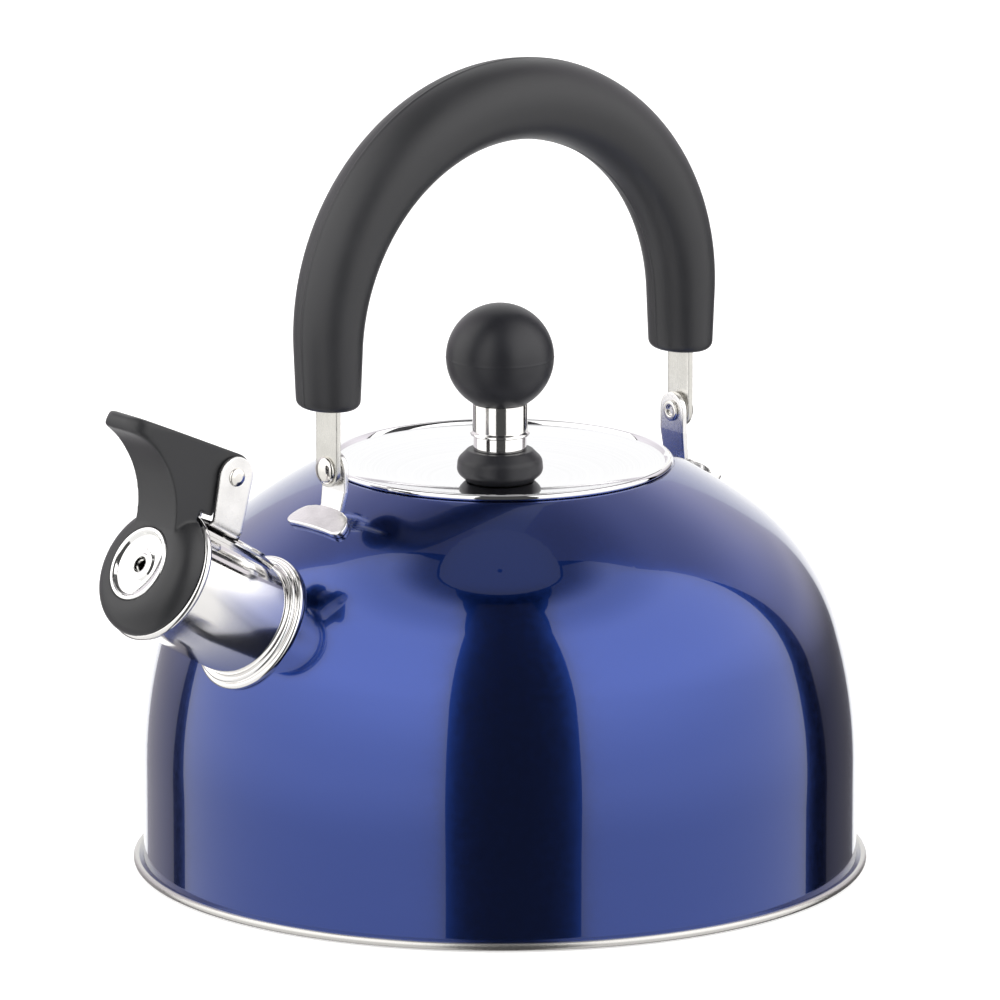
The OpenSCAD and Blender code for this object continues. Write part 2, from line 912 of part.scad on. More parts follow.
module knob_foot() {
    mid_z = knob_foot_z + 4.4;
    round_r = 4.2;
    color(black)
        rotate_extrude()
            difference() {
                union() {
                    intersection() {
                        ring_section(knob_foot_r - round_r, mid_z, round_r);
                        translate([0, knob_foot_z])
                            square([knob_foot_r + 1, knob_foot_h]);
                    }
                    translate([0, knob_foot_z])
                        square([knob_foot_base_r - 0.9, knob_foot_h]);
                }
                translate([-1, knob_foot_z - 1])
                    square([1 + screw_r + seat_gap, knob_foot_h + 2]);
                ring_section(0, dish_z + dish_r, dish_r - cut);
                difference() {
                    translate([0, knob_foot_z - 1])
                        square([knob_foot_r, 3]);
                    ring_section(0, dish_z + dish_r, dish_r - seat_gap);
                }
            }
}

module knob_ferrule() {
    color(chrome)
        rotate_extrude()
            difference() {
                union() {
                    translate([0, ferrule_z + seat_gap])
                        square([ferrule_r - 0.25, ferrule_top_z - ferrule_z - 2 * seat_gap]);
                    translate([0, ferrule_lip_z])
                        square([ferrule_r, ferrule_top_z - ferrule_lip_z - 2 * seat_gap]);
                    ring_section(ferrule_lip_r - 0.6, ferrule_lip_z, 0.6);
                }
                translate([-1, 0])
                    square([1 + screw_r + seat_gap, 2 * pivot_z]);
                ring_section(0, ball_z, ball_r + seat_gap);
            }
}

module knob_ball() {
    screw_bore_z = ball_z - ball_r + 16;
    color(black)
        difference() {
            translate([0, 0, ball_z])
                sphere(ball_r);
            translate([0, 0, ball_z - 2 * ball_r])
                cylinder(r = screw_r + seat_gap, h = screw_bore_z - ball_z + 2 * ball_r);
        }
}

module knob_screw() {
    washer_bottom = dish_z - lid_t - washer_h - 2 * seat_gap;
    screw_top = ball_z - ball_r + 15;
    color(steel)
        difference() {
            union() {
                translate([0, 0, washer_bottom - screw_head_h])
                    cylinder(r = screw_r, h = screw_top - washer_bottom + screw_head_h);
                translate([0, 0, washer_bottom - screw_head_h - seat_gap])
                    cylinder(r1 = 0.75 * screw_head_r, r2 = screw_head_r, h = screw_head_h);
            }
            for (turn = [0, 90])
                rotate([0, 0, turn])
                    translate([-2.2, -0.5, washer_bottom - screw_head_h - 1])
                        cube([4.4, 1, 2.2]);
        }
}

module knob_washer() {
    color(steel)
        translate([0, 0, dish_z - lid_t - washer_h - seat_gap])
            difference() {
                cylinder(r = knob_washer_r, h = washer_h - 0.12);
                translate([0, 0, -1])
                    cylinder(r = screw_r + seat_gap, h = 3);
            }
}

body_shell();
base_plate();
base_disc();
spout_tube();
spout_collar();
hinge_bracket();
hinge_pin();
return_spring();
heel_pad();
front_bracket();
rear_bracket();
bail_rivets();
bail_washers();
handle_grip();
handle_strap();
lid_cover();
lid_skirt();
knob_foot();
knob_ferrule();
knob_ball();
knob_screw();
knob_washer();
whistle_lever();
whistle_cup();
whistle_plate();
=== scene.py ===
import json
import math

import bmesh
import bpy
from mathutils import Matrix, Vector


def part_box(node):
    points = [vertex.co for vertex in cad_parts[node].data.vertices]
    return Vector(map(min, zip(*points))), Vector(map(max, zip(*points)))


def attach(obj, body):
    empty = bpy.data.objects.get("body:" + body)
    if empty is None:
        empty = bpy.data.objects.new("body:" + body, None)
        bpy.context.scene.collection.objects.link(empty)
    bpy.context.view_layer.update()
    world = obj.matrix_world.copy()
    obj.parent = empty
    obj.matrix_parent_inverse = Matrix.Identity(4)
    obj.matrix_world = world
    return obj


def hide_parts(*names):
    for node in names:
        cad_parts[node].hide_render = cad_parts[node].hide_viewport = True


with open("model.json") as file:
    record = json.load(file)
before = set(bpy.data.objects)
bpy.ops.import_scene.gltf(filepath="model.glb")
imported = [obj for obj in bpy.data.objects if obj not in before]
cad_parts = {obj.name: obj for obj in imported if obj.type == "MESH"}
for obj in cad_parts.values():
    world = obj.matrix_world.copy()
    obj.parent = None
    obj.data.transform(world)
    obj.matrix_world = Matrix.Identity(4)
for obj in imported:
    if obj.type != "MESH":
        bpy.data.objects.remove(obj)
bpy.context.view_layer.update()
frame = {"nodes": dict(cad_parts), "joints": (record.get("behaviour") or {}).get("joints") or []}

# Every piece is drawn in millimetres in the row's frame and scaled to metres at the end.
MM = 0.001
# Points round a large turned piece.
AROUND = 256
# Rounding of a sheet's edges, in millimetres.
EDGE = 0.25
# An edge that turns by more than this many degrees stays crisp: turned pieces, then bent sheets.
CREASE = 42
SHEET_CREASE = 50
# A noise texture's values seldom leave this range.
NOISE_LOW, NOISE_HIGH = 0.3, 0.7


def span(node):
    """Lowest and highest corner of a CAD node, in millimetres."""
    low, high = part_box(node)
    return low / MM, high / MM


# ---------- sizes, from the frame ----------

body_low, body_high = span("body_shell")
base_high = span("base_plate")[1]
skirt_high = span("lid_skirt")[1]
lid_high = span("lid_cover")[1]
foot_low, foot_high = span("knob_foot")
ferrule_low, ferrule_high = span("knob_ferrule")
ball_high = span("knob_ball")[1]
strap_low, strap_high = span("handle_strap")
grip_low, grip_high = span("handle_grip")
joints = {j["name"]: j for j in frame["joints"]}

# body: sheet thickness, height of the straight wall, and the roll round the filler neck
body_r = body_high.x
sheet = 0.8
wall_h = 27.5
skirt_play = 0.6
neck_r = skirt_high.x + skirt_play
roll = 2.0
roll_x = neck_r + roll
roll_z = body_high.z - roll
neck_depth = 5.0
neck_bottom = roll_z - neck_depth

# the dome is three tangent arcs, each a fixed share of the body radius
arc_r = [1.3755 * body_r, 0.6116 * body_r, 1.4397 * body_r]
arc_a = [0.0, 16.7, 52.1]


def towards(degrees):
    """Unit step in the half section, 0 outwards and 90 up."""
    a = math.radians(degrees)
    return Vector((math.cos(a), math.sin(a)))


arc_c = [Vector((body_r - arc_r[0], wall_h))]
arc_c.append(arc_c[0] + (arc_r[0] - arc_r[1]) * towards(arc_a[1]))
arc_c.append(arc_c[1] + (arc_r[1] - arc_r[2]) * towards(arc_a[2]))
roll_a = math.degrees(math.atan2(roll_z - arc_c[2].y, roll_x - arc_c[2].x))
low_join = arc_c[0] + arc_r[0] * towards(arc_a[1])
high_join = arc_c[1] + arc_r[1] * towards(arc_a[2])


def dome_z(r):
    """Height of the dome's outer skin at distance r from the axis."""
    part = 2 if r < high_join.x else 1 if r < low_join.x else 0
    return arc_c[part].y + math.sqrt(arc_r[part] ** 2 - (r - arc_c[part].x) ** 2)


def above_dome(point):
    """Signed distance of a point from the dome's outer skin, above about the middle arc."""
    flat = Vector((math.hypot(point.x, point.y), point.z))
    part = 2 if flat.x < high_join.x else 1
    return (flat - arc_c[part]).length - arc_r[part]


# spout frame: local x up across the spout, y sideways, z out along it; pin_t and pin_s
# place the hinge pin above the spout's axis and out along it
spout_tilt = math.radians(30.2)
pin_t = 31.6
pin_s = 31.2
spout_r = 16.15
spout_len = 35.0
up_spout = Vector((math.sin(spout_tilt), 0, math.cos(spout_tilt)))
along_spout = Vector((-math.cos(spout_tilt), 0, math.sin(spout_tilt)))
sideways = Vector((0, 1, 0))
pin = Vector(joints["cap_open"]["pos_m"]) / MM
spout_root = pin - pin_t * up_spout - pin_s * along_spout

# bail: the strap and the sheet tabs that it is riveted to
pivot = Vector(joints["bail_fold"]["pos_m"]) / MM
strap_w = 9.3
strap_t = 1.5
arch_r = (strap_high.x - strap_low.x - strap_t) / 2
arch_z = strap_high.z - strap_t / 2 - arch_r
grip_end = grip_low.z
tab_t = 1.5
tab_gap = 0.8

# bore of the lid and of the knob parts, for the knob screw
screw_bore = 2.02


# ---------- outlines ----------


def arc(centre, radius, start, stop, count):
    """Points on an arc, angles in degrees."""
    cx, cy = centre
    turn = [math.radians(start + (stop - start) * i / count) for i in range(count + 1)]
    return [(cx + radius * math.cos(a), cy + radius * math.sin(a)) for a in turn]


def rounded(corners, closed=True, steps=5):
    """Outline through corners (x, y, radius), each turned with its own radius."""
    out = []
    n = len(corners)
    for i, (x, y, radius) in enumerate(corners):
        here = Vector((x, y))
        at_end = not closed and i in (0, n - 1)
        if radius <= 0 or at_end:
            out.append((x, y))
            continue
        back = Vector(corners[i - 1][:2]) - here
        ahead = Vector(corners[(i + 1) % n][:2]) - here
        half = back.angle(ahead) / 2
        reach = radius / math.tan(half)
        # two neighbouring corners share the side between them
        limit = 0.49 * min(back.length, ahead.length)
        if reach > limit:
            radius, reach = radius * limit / reach, limit
        middle = (back.normalized() + ahead.normalized()).normalized()
        centre = here + middle * radius / math.sin(half)
        first = here + back.normalized() * reach - centre
        last = here + ahead.normalized() * reach - centre
        turn = first.angle_signed(last)
        for k in range(steps + 1):
            step = Matrix.Rotation(-turn * k / steps, 2) @ first
            out.append(tuple(centre + step))
    return out


def spout_place(t=0.0, y=0.0, s=0.0):
    """Matrix from the spout's local axes, moved to a local point, in millimetres."""
    place = Matrix((up_spout, sideways, along_spout)).transposed().to_4x4()
    place.translation = spout_root + t * up_spout + y * sideways + s * along_spout
    return place


def facing(origin, direction):
    """Matrix whose local z looks along direction."""
    place = direction.to_track_quat("Z", "Y").to_matrix().to_4x4()
    place.translation = origin
    return place


# ---------- mesh builders ----------


def mesh_object(name, mesh):
    """Object round a mesh or curve, put in the scene."""
    item = bpy.data.objects.new(name, mesh)
    bpy.context.scene.collection.objects.link(item)
    return item


def from_bmesh(name, bm, place=None, sharp=CREASE):
    """Object from a bmesh drawn in millimetres; edges over the sharp angle stay crisp."""
    if place is not None:
        bm.transform(place)
    bm.transform(Matrix.Scale(MM, 4))
    bmesh.ops.recalc_face_normals(bm, faces=bm.faces)
    mesh = bpy.data.meshes.new(name)
    bm.to_mesh(mesh)
    bm.free()
    mesh.shade_smooth()
    mesh.set_sharp_from_angle(angle=math.radians(sharp))
    return mesh_object(name, mesh)


def lathe(name, outline, place=None, paint=None, around=AROUND, seat=None):
    """Closed outline (radius, height) turned about the local z axis. paint gives the
    material of the faces after an outline point; seat moves a point's height."""
    bm = bmesh.new()
    rings = []
    for r, z in outline:
        if r < 1e-6:
            rings.append([bm.verts.new((0, 0, z))])
            continue
        ring = []
        for k in range(around):
            a = 2 * math.pi * k / around
            x, y = r * math.cos(a), r * math.sin(a)
            ring.append(bm.verts.new((x, y, seat(x, y, z) if seat else z)))
        rings.append(ring)
    for i, ring in enumerate(rings):
        after = rings[(i + 1) % len(rings)]
        if len(ring) == 1 and len(after) == 1:
            continue
        for k in range(around):
            m = (k + 1) % around
            corners = [ring[k % len(ring)], ring[m % len(ring)]]
            corners += [after[m % len(after)], after[k % len(after)]]
            face = bm.faces.new(list(dict.fromkeys(corners)))
            face.material_index = paint(i) if paint else 0
    return from_bmesh(name, bm, place)


def skin(name, rings, place=None, sharp=CREASE):
    """Closed skin over rings of equal point counts, with flat ends."""
    bm = bmesh.new()
    made = [[bm.verts.new(p) for p in ring] for ring in rings]
    for ring, after in zip(made, made[1:]):
        for k in range(len(ring)):
            m = (k + 1) % len(ring)
            bm.faces.new((ring[k], ring[m], after[m], after[k]))
    bm.faces.new(list(reversed(made[0])))
    bm.faces.new(made[-1])
    return from_bmesh(name, bm, place, sharp)


def plate(name, outline, thickness, place, edge):
    """Flat plate with rounded edges, centred on the local xy plane."""
    curve = bpy.data.curves.new(name, "CURVE")
    curve.dimensions = "2D"
    curve.fill_mode = "BOTH"
    curve.extrude = thickness / 2 - edge
    curve.bevel_depth = edge
    curve.bevel_resolution = 2
    curve.offset = -edge
    line = curve.splines.new("POLY")
    line.points.add(len(outline) - 1)
    for point, (x, y) in zip(line.points, outline):
        point.co = (x, y, 0, 1)
    line.use_cyclic_u = True
    source = mesh_object(name + "_source", curve)
    bpy.context.view_layer.update()
    shown = source.evaluated_get(bpy.context.evaluated_depsgraph_get())
    bm = bmesh.new()
    bm.from_mesh(bpy.data.meshes.new_from_object(shown))
    bpy.data.objects.remove(source)
    bmesh.ops.remove_doubles(bm, verts=bm.verts, dist=0.001)
    return from_bmesh(name, bm, place, SHEET_CREASE)


def ribbon(name, stations, across, thickness, edge=EDGE, place=None, drape=None):
    """Bent sheet. A station is (middle, normal, low, high): the sheet's middle there,
    its normal, and how far it runs to either side along across. Its ends and sides
    are rounded; drape moves a finished point, given the station's number."""
    lengths = [0.0]
    for before, here in zip(stations, stations[1:]):
        lengths.append(lengths[-1] + (here[0] - before[0]).length)
    rings = []
    for number, (middle, normal, low, high) in enumerate(stations):
        from_end = min(lengths[number], lengths[-1] - lengths[number])
        shrink = 0.0
        if from_end < edge:
            shrink = edge - math.sqrt(edge**2 - (edge - from_end) ** 2)
        half = thickness / 2 - shrink
        low, high = low + shrink, max(high - shrink, low + shrink + 3 * edge)
        turn = min(edge, half)
        section = []
        # each rounded corner in turn, and points along the two broad faces between them
        for centre, start in (
            ((high - turn, half - turn), 0),
            ((low + turn, half - turn), 90),
            ((low + turn, turn - half), 180),
            ((high - turn, turn - half), 270),
        ):
            section += arc(centre, turn, start, start + 90, 3)
            if start in (0, 180):
                far = low + turn if start == 0 else high - turn
                near = section[-1]
                section += [(near[0] + (far - near[0]) * k / 12, near[1]) for k in range(1, 12)]
        ring = [middle + across * v + normal * w for v, w in section]
        rings.append([drape(number, p) for p in ring] if drape else ring)
    return skin(name, rings, place, SHEET_CREASE)


def wire(name, path, radius, place, sides=20):
    """Round wire along a path."""
    rings = []
    for i, point in enumerate(path):
        ahead = (path[min(i + 1, len(path) - 1)] - path[max(i - 1, 0)]).normalized()
        u = ahead.cross(sideways).normalized()
        v = u.cross(ahead)
        turns = [2 * math.pi * k / sides for k in range(sides)]
        rings.append([point + radius * (math.cos(a) * u + math.sin(a) * v) for a in turns])
    return skin(name, rings, place)


def applied(item):
    """Puts an object's modifiers into its mesh."""
    bpy.context.view_layer.update()
    shown = item.evaluated_get(bpy.context.evaluated_depsgraph_get())
    mesh = bpy.data.meshes.new_from_object(shown)
    item.modifiers.clear()
    item.data = mesh
    return item


def moulded(name, node, voxel, passes, blunt=None):
    """A CAD node's shape with every edge softened, as it comes out of a mould. Where
    blunt gives a point some weight, the shape is rounded off much more."""
    bm = bmesh.new()
    bm.from_mesh(frame["nodes"][node].data)
    bmesh.ops.remove_doubles(bm, verts=bm.verts, dist=0.002 * MM)
    mesh = bpy.data.meshes.new(name)
    bm.to_mesh(mesh)
    bm.free()
    item = mesh_object(name, mesh)
    remesh = item.modifiers.new("remesh", "REMESH")
    remesh.mode = "VOXEL"
    remesh.voxel_size = voxel * MM
    soften = item.modifiers.new("soften", "SMOOTH")
    soften.factor = 0.5
    soften.iterations = passes
    applied(item)
    if blunt:
        group = item.vertex_groups.new(name="blunt")
        for vertex in item.data.vertices:
            group.add([vertex.index], blunt(vertex.co / MM), "REPLACE")
        rounder = item.modifiers.new("rounder", "SMOOTH")
        rounder.iterations = 90
        rounder.vertex_group = "blunt"
        applied(item)
    item.data.shade_smooth()
    return item


def cut(item, radius, start, stop, place):
    """Drills a round hole along the local z of place."""
    bm = bmesh.new()
    bmesh.ops.create_cone(
        bm, cap_ends=True, segments=128, radius1=radius, radius2=radius, depth=stop - start,
        matrix=Matrix.Translation((0, 0, (start + stop) / 2)),
    )
    drill(item, from_bmesh(item.name + "_cutter", bm, place))


def drill(item, cutter):
    """Takes a cutter object out of a piece and removes the cutter."""
    step = item.modifiers.new("cut", "BOOLEAN")
    step.operation = "DIFFERENCE"
    step.solver = "EXACT"
    step.object = cutter
    applied(item)
    bpy.data.objects.remove(cutter)
    item.data.set_sharp_from_angle(angle=math.radians(CREASE))


def finish_piece(item, body, slot, nodes, *materials):
    """Gives a piece its body and materials, and hides the CAD nodes it stands for; slot is not used."""
    item.data.materials.clear()
    for material in materials:
        item.data.materials.append(material)
    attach(item, body)
    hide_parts(*nodes)
    return item


# ---------- materials ----------


class Surface:
    """A node material built step by step round one Principled shader."""

    def __init__(self, name, **values):
        self.material = bpy.data.materials.new(name)
        self.material.use_nodes = True
        self.tree = self.material.node_tree
        self.shader = self.tree.nodes["Principled BSDF"]
        for socket, value in values.items():
            self.shader.inputs[socket.replace("_", " ")].default_value = value
        self.coords = self.node("ShaderNodeTexCoord").outputs["Object"]

    def node(self, kind, **values):
        """A new node of the tree, with some of its settings."""
        made = self.tree.nodes.new(kind)
        for key, value in values.items():
            setattr(made, key, value)
        return made

    def link(self, source, target):
        self.tree.links.new(source, target)

    def scaled(self, scale):
        """Object coordinates times a vector, per metre."""
        mapping = self.node("ShaderNodeMapping")
        mapping.inputs["Scale"].default_value = scale
        self.link(self.coords, mapping.inputs["Vector"])
        return mapping.outputs["Vector"]

    def turned(self, freq, along):
        """Coordinates that change fast with distance from the z axis, slowly otherwise."""
        split = self.node("ShaderNodeSeparateXYZ")
        self.link(self.coords, split.inputs["Vector"])
        flat = self.node("ShaderNodeCombineXYZ")
        self.link(split.outputs["X"], flat.inputs["X"])
        self.link(split.outputs["Y"], flat.inputs["Y"])
        length = self.node("ShaderNodeVectorMath", operation="LENGTH")
        self.link(flat.outputs["Vector"], length.inputs[0])
        joined = self.node("ShaderNodeCombineXYZ")
        self.link(self.times(length.outputs["Value"], freq), joined.inputs["X"])
        self.link(self.times(split.outputs["Z"], along), joined.inputs["Y"])
        return joined.outputs["Vector"]

    def projected(self, axis, freq):
        """Coordinates that change only along one axis."""
        dot = self.node("ShaderNodeVectorMath", operation="DOT_PRODUCT")
        self.link(self.coords, dot.inputs[0])
        dot.inputs[1].default_value = axis
        joined = self.node("ShaderNodeCombineXYZ")
        self.link(self.times(dot.outputs["Value"], freq), joined.inputs["X"])
        return joined.outputs["Vector"]

    def times(self, value, factor):
        """A value times a number."""
        made = self.node("ShaderNodeMath", operation="MULTIPLY")
        self.link(value, made.inputs[0])
        made.inputs[1].default_value = factor
        return made.outputs[0]

    def noise(self, vector, detail, rough=0.5):
        """Noise over coordinates that are already scaled."""
        made = self.node("ShaderNodeTexNoise")
        made.inputs["Scale"].default_value = 1.0
        made.inputs["Detail"].default_value = detail
        made.inputs["Roughness"].default_value = rough
        self.link(vector, made.inputs["Vector"])
        return made.outputs["Fac"]

    def roughness(self, value, low, high):
        """Spreads a noise value between two roughnesses."""
        made = self.node("ShaderNodeMapRange")
        limits = {"From Min": NOISE_LOW, "From Max": NOISE_HIGH, "To Min": low, "To Max": high}
        for socket, number in limits.items():
            made.inputs[socket].default_value = number
        self.link(value, made.inputs["Value"])
        self.link(made.outputs["Result"], self.shader.inputs["Roughness"])

    def colours(self, value, low, high, start=NOISE_LOW, stop=NOISE_HIGH):
        """Blends between two colours into the base colour."""
        made = self.node("ShaderNodeValToRGB")
        made.color_ramp.elements[0].position = start
        made.color_ramp.elements[0].color = (*low, 1)
        made.color_ramp.elements[1].position = stop
        made.color_ramp.elements[1].color = (*high, 1)
        self.link(value, made.inputs["Fac"])
        self.link(made.outputs["Color"], self.shader.inputs["Base Color"])

    def bump(self, value, height, under=None, socket="Normal"):
        """Bump of a real height in millimetres."""
        made = self.node("ShaderNodeBump")
        made.inputs["Distance"].default_value = height * MM
        self.link(value, made.inputs["Height"])
        if under is not None:
            self.link(under, made.inputs["Normal"])
        self.link(made.outputs["Normal"], self.shader.inputs[socket])
        return made.outputs["Normal"]


def blue_coat():
    """Clear blue lacquer over polished steel: a soft coloured base under a hard gloss."""
    s = Surface("blue_coat", Metallic=1.0, Coat_Weight=1.0, Coat_Roughness=0.015, Coat_IOR=1.52)
    flow = s.noise(s.scaled((9, 9, 30)), 4.0)
    s.colours(flow, (0.013, 0.041, 0.230), (0.016, 0.046, 0.248))
    s.roughness(s.noise(s.scaled((500, 500, 500)), 2.0), 0.17, 0.21)
    s.bump(s.noise(s.scaled((240, 240, 240)), 2.0), 0.004)
    s.bump(s.noise(s.scaled((70, 70, 70)), 1.0), 0.006, socket="Coat Normal")
    return s.material


def spun_steel(name, colour, low, high, height):
    """Steel turned on a lathe about the kettle's axis, with fine rings."""
    s = Surface(name, Metallic=1.0)
    rings = s.noise(s.turned(6000, 6000), 4.0, 0.65)
    s.colours(rings, [0.9 * c for c in colour], colour)
    s.roughness(s.noise(s.turned(900, 900), 3.0), low, high)
    s.bump(rings, height)
    return s.material


def drawn_steel(name, colour, low, high, grain):
    """Satin steel sheet with a short grain and light wear."""
    s = Surface(name, Metallic=1.0)
    fine = s.noise(s.scaled(grain), 4.0, 0.6)
    wear = s.noise(s.scaled((160, 160, 160)), 3.0)
    s.colours(wear, [0.88 * c for c in colour], colour, NOISE_LOW, 0.6)
    s.roughness(fine, low, high)
    s.bump(fine, 0.012)
    return s.material


def chrome(name, axis, colour, low, high, ripple):
    """Polished tube: buffing lines run round it and its skin waves very slightly."""
    s = Surface(name, Metallic=1.0, Base_Color=(*colour, 1))
    lines = s.noise(s.projected(axis, 5200), 3.0, 0.6)
    s.roughness(lines, low, high)
    wave = s.bump(s.noise(s.scaled((55, 55, 55)), 1.0), ripple)
    s.bump(lines, 0.0012, wave)
    return s.material


def black_plastic(name, low, high, height, sheen=0.42):
    """Moulded black plastic with a fine spark-eroded texture."""
    s = Surface(name, Specular_IOR_Level=0.5)
    grain = s.noise(s.scaled((5200, 5200, 5200)), 3.0, 0.6)
    cloud = s.noise(s.scaled((60, 60, 60)), 4.0)
    s.colours(cloud, low, high)
    s.roughness(cloud, sheen - 0.03, sheen + 0.05)
    s.bump(grain, height)
    return s.material


def rubber():
    """Matt black rubber with a coarse grain."""
    s = Surface("black_rubber", Specular_IOR_Level=0.35)
    grain = s.noise(s.scaled((2600, 2600, 2600)), 4.0)
    s.colours(grain, (0.010, 0.010, 0.011), (0.018, 0.018, 0.019))
    s.roughness(grain, 0.62, 0.78)
    s.bump(grain, 0.02)
    return s.material


BLUE = blue_coat()
INNER_STEEL = spun_steel("inner_steel", (0.62, 0.62, 0.63), 0.24, 0.34, 0.004)
SEAM_STEEL = spun_steel("seam_steel", (0.60, 0.59, 0.57), 0.20, 0.32, 0.006)
ALLOY = spun_steel("base_alloy", (0.66, 0.66, 0.67), 0.30, 0.42, 0.02)
LID_CHROME = spun_steel("lid_chrome", (0.90, 0.90, 0.91), 0.03, 0.06, 0.0003)
SPOUT_CHROME = chrome("spout_chrome", along_spout, (0.88, 0.87, 0.86), 0.05, 0.10, 0.02)
CUP_CHROME = chrome("cup_chrome", along_spout, (0.90, 0.90, 0.89), 0.07, 0.12, 0.01)
POST_CHROME = chrome("post_chrome", (0, 0, 1), (0.86, 0.85, 0.83), 0.06, 0.12, 0.01)
RIVET_CHROME = drawn_steel("rivet_chrome", (0.84, 0.82, 0.78), 0.10, 0.18, (900, 900, 900))
STRAP_STEEL = drawn_steel("strap_steel", (0.70, 0.69, 0.65), 0.24, 0.34, (5000, 5000, 500))
BRACKET_STEEL = drawn_steel("bracket_steel", (0.90, 0.89, 0.88), 0.20, 0.30, (5000, 5000, 900))
WIRE_STEEL = drawn_steel("spring_wire", (0.70, 0.70, 0.72), 0.18, 0.26, (3000, 3000, 3000))
GRIP_BLACK = black_plastic("grip_black", (0.016, 0.0165, 0.019), (0.020, 0.0205, 0.0235), 0.03)
KNOB_BLACK = black_plastic("knob_black", (0.009, 0.0095, 0.0135), (0.012, 0.0125, 0.0175), 0.02, 0.38)
CAP_BLACK = black_plastic("cap_black", (0.014, 0.0145, 0.0165), (0.018, 0.0185, 0.0205), 0.02, 0.40)
RUBBER = rubber()


# ---------- body ----------


def dome_skin(inset):
    """Half section of the wall and dome from the base to the neck roll."""
    line = [(body_r - inset, body_low.z), (body_r - inset, wall_h / 2)]
    stops = [*arc_a, roll_a]
    for part, steps in enumerate((10, 30, 16)):
        points = arc(arc_c[part], arc_r[part] - inset, stops[part], stops[part + 1], steps)
        line += points[:-1]
    return line


def make_body():
    """One spun sheet: wall, dome, and the neck that turns in at the top."""
    outside = dome_skin(0) + arc((roll_x, roll_z), roll, roll_a, 180, 18)
    inside = dome_skin(sheet) + arc((roll_x, roll_z), roll - sheet, roll_a, 180, 12)
    lip = [(neck_r, neck_bottom + 0.2), (neck_r + 0.2, neck_bottom)]
    lip += [(neck_r + sheet - 0.2, neck_bottom), (neck_r + sheet, neck_bottom + 0.2)]
    # the coat ends where the roll turns down into the neck
    painted = len(outside) - 5
    shell = lathe(
        "kettle_body", outside + lip + inside[::-1], around=384,
        paint=lambda i: 0 if i < painted else 1,
    )
    hole_start, hole_stop = -12, 20
    cut(shell, spout_r + 0.02, hole_start, hole_stop, spout_place())
    finish_piece(shell, "kettle", "blue_coat", ["body_shell"], BLUE, INNER_STEEL)


def make_base():
    """Rolled seam, flat floor and the raised contact ring, as one turned plate."""
    bead = base_high.z / 2
    seam_x = base_high.x - bead
    wall_in = body_r - sheet - 0.1
    ring = 0.86 * body_r
    floor = body_low.z
    low = 0.8
    corners = [(0, floor, 0), (wall_in, floor, 0.3), (wall_in, floor - 0.1, 0)]
    corners += [(body_r + 0.05, floor - 0.1, 0), (body_r + 0.05, floor + 0.55, 0.2)]
    outline = rounded(corners, closed=False)
    outline += arc((seam_x, bead), bead, 125, -80, 22)
    outline += rounded(
        [(seam_x - 0.3, 0.05, 0), (seam_x - 2.2, low, 0.5), (ring + 1.2, low, 0.6), (ring, 0, 0.5),
         (ring - 4, 0, 0.4), (ring - 4, low, 0.2), (0, low, 0)],
        closed=False,
    )
    plate_piece = lathe("seamed_base", outline)
    finish_piece(plate_piece, "kettle", "seam_steel", ["base_plate"], SEAM_STEEL)


# ---------- spout ----------


def make_spout():
    """Tube with a rolled lip; its root reaches a little way into the body."""
    bore = spout_r - sheet
    root = -6.0
    lip = 1.3
    lip_x = spout_r + 2.65 - lip
    neck = spout_len - 2.2
    outline = [(bore, root), (spout_r, root)]
    outline += rounded(
        [(spout_r, root + 0.1, 0), (spout_r, neck, 0.7), (lip_x, neck, 0)], closed=False
    )[1:-1]
    outline += arc((lip_x, spout_len - lip), lip, -70, 90, 14)
    mouth = [(lip_x, spout_len, 0), (bore, spout_len, 0.8), (bore, root, 0)]
    outline += rounded(mouth, closed=False)[1:-1]
    tube = lathe("spout_pipe", outline, spout_place(), around=192)
    finish_piece(tube, "kettle", "spout_chrome", ["spout_tube"], SPOUT_CHROME)


def seat_on_dome(x, y, z):
    """Moves a low point of the collar along the spout until it sits on the dome."""
    seated_below = -3
    clear = 0.16
    if z > seated_below:
        return z
    low, high = -14.0, 0.0
    for _ in range(24):
        s = (low + high) / 2
        point = spout_root + x * up_spout + y * sideways + s * along_spout
        low, high = (low, s) if above_dome(point) > clear else (s, high)
    return high


def make_collar():
    """Stepped flange soldered round the spout: an outer bead and an inner step."""
    inner = spout_r + 0.03
    outer = 19.2
    outline = [(inner, -9.0), (outer - 0.9, -9.0), (outer - 0.25, -8.5), (outer - 0.1, -2.2)]
    outline += arc((outer - 1.0, -1.3), 1.0, -10, 100, 10)
    outline += [(spout_r + 1.75, -0.42)]
    outline += arc((spout_r + 0.95, 0.45), 0.75, -30, 100, 9)
    outline += [(spout_r + 0.25, 1.2), (inner, 1.05)]
    collar = lathe("collar", outline, spout_place(), around=192, seat=seat_on_dome)
    finish_piece(collar, "kettle", "spout_chrome", ["spout_collar"], SPOUT_CHROME)


# ---------- hinge of the cap ----------

# ears: rounded top, thickness, distance of an ear's middle from the spout's plane, and
# the middle and half width of an ear where it leaves the web
ear_r = 5.5
ear_t = 1.2
lever_w = 17.5
ear_play = 0.45
ear_mid = lever_w / 2 + ear_play + ear_t / 2
web_t = spout_r + 0.9 + ear_t / 2
ear_base = pin_s - 4.4
ear_half = 5.1
# the straight sides meet the round top this far from the pin
tangent_t = 1.3
tangent_s = 5.35


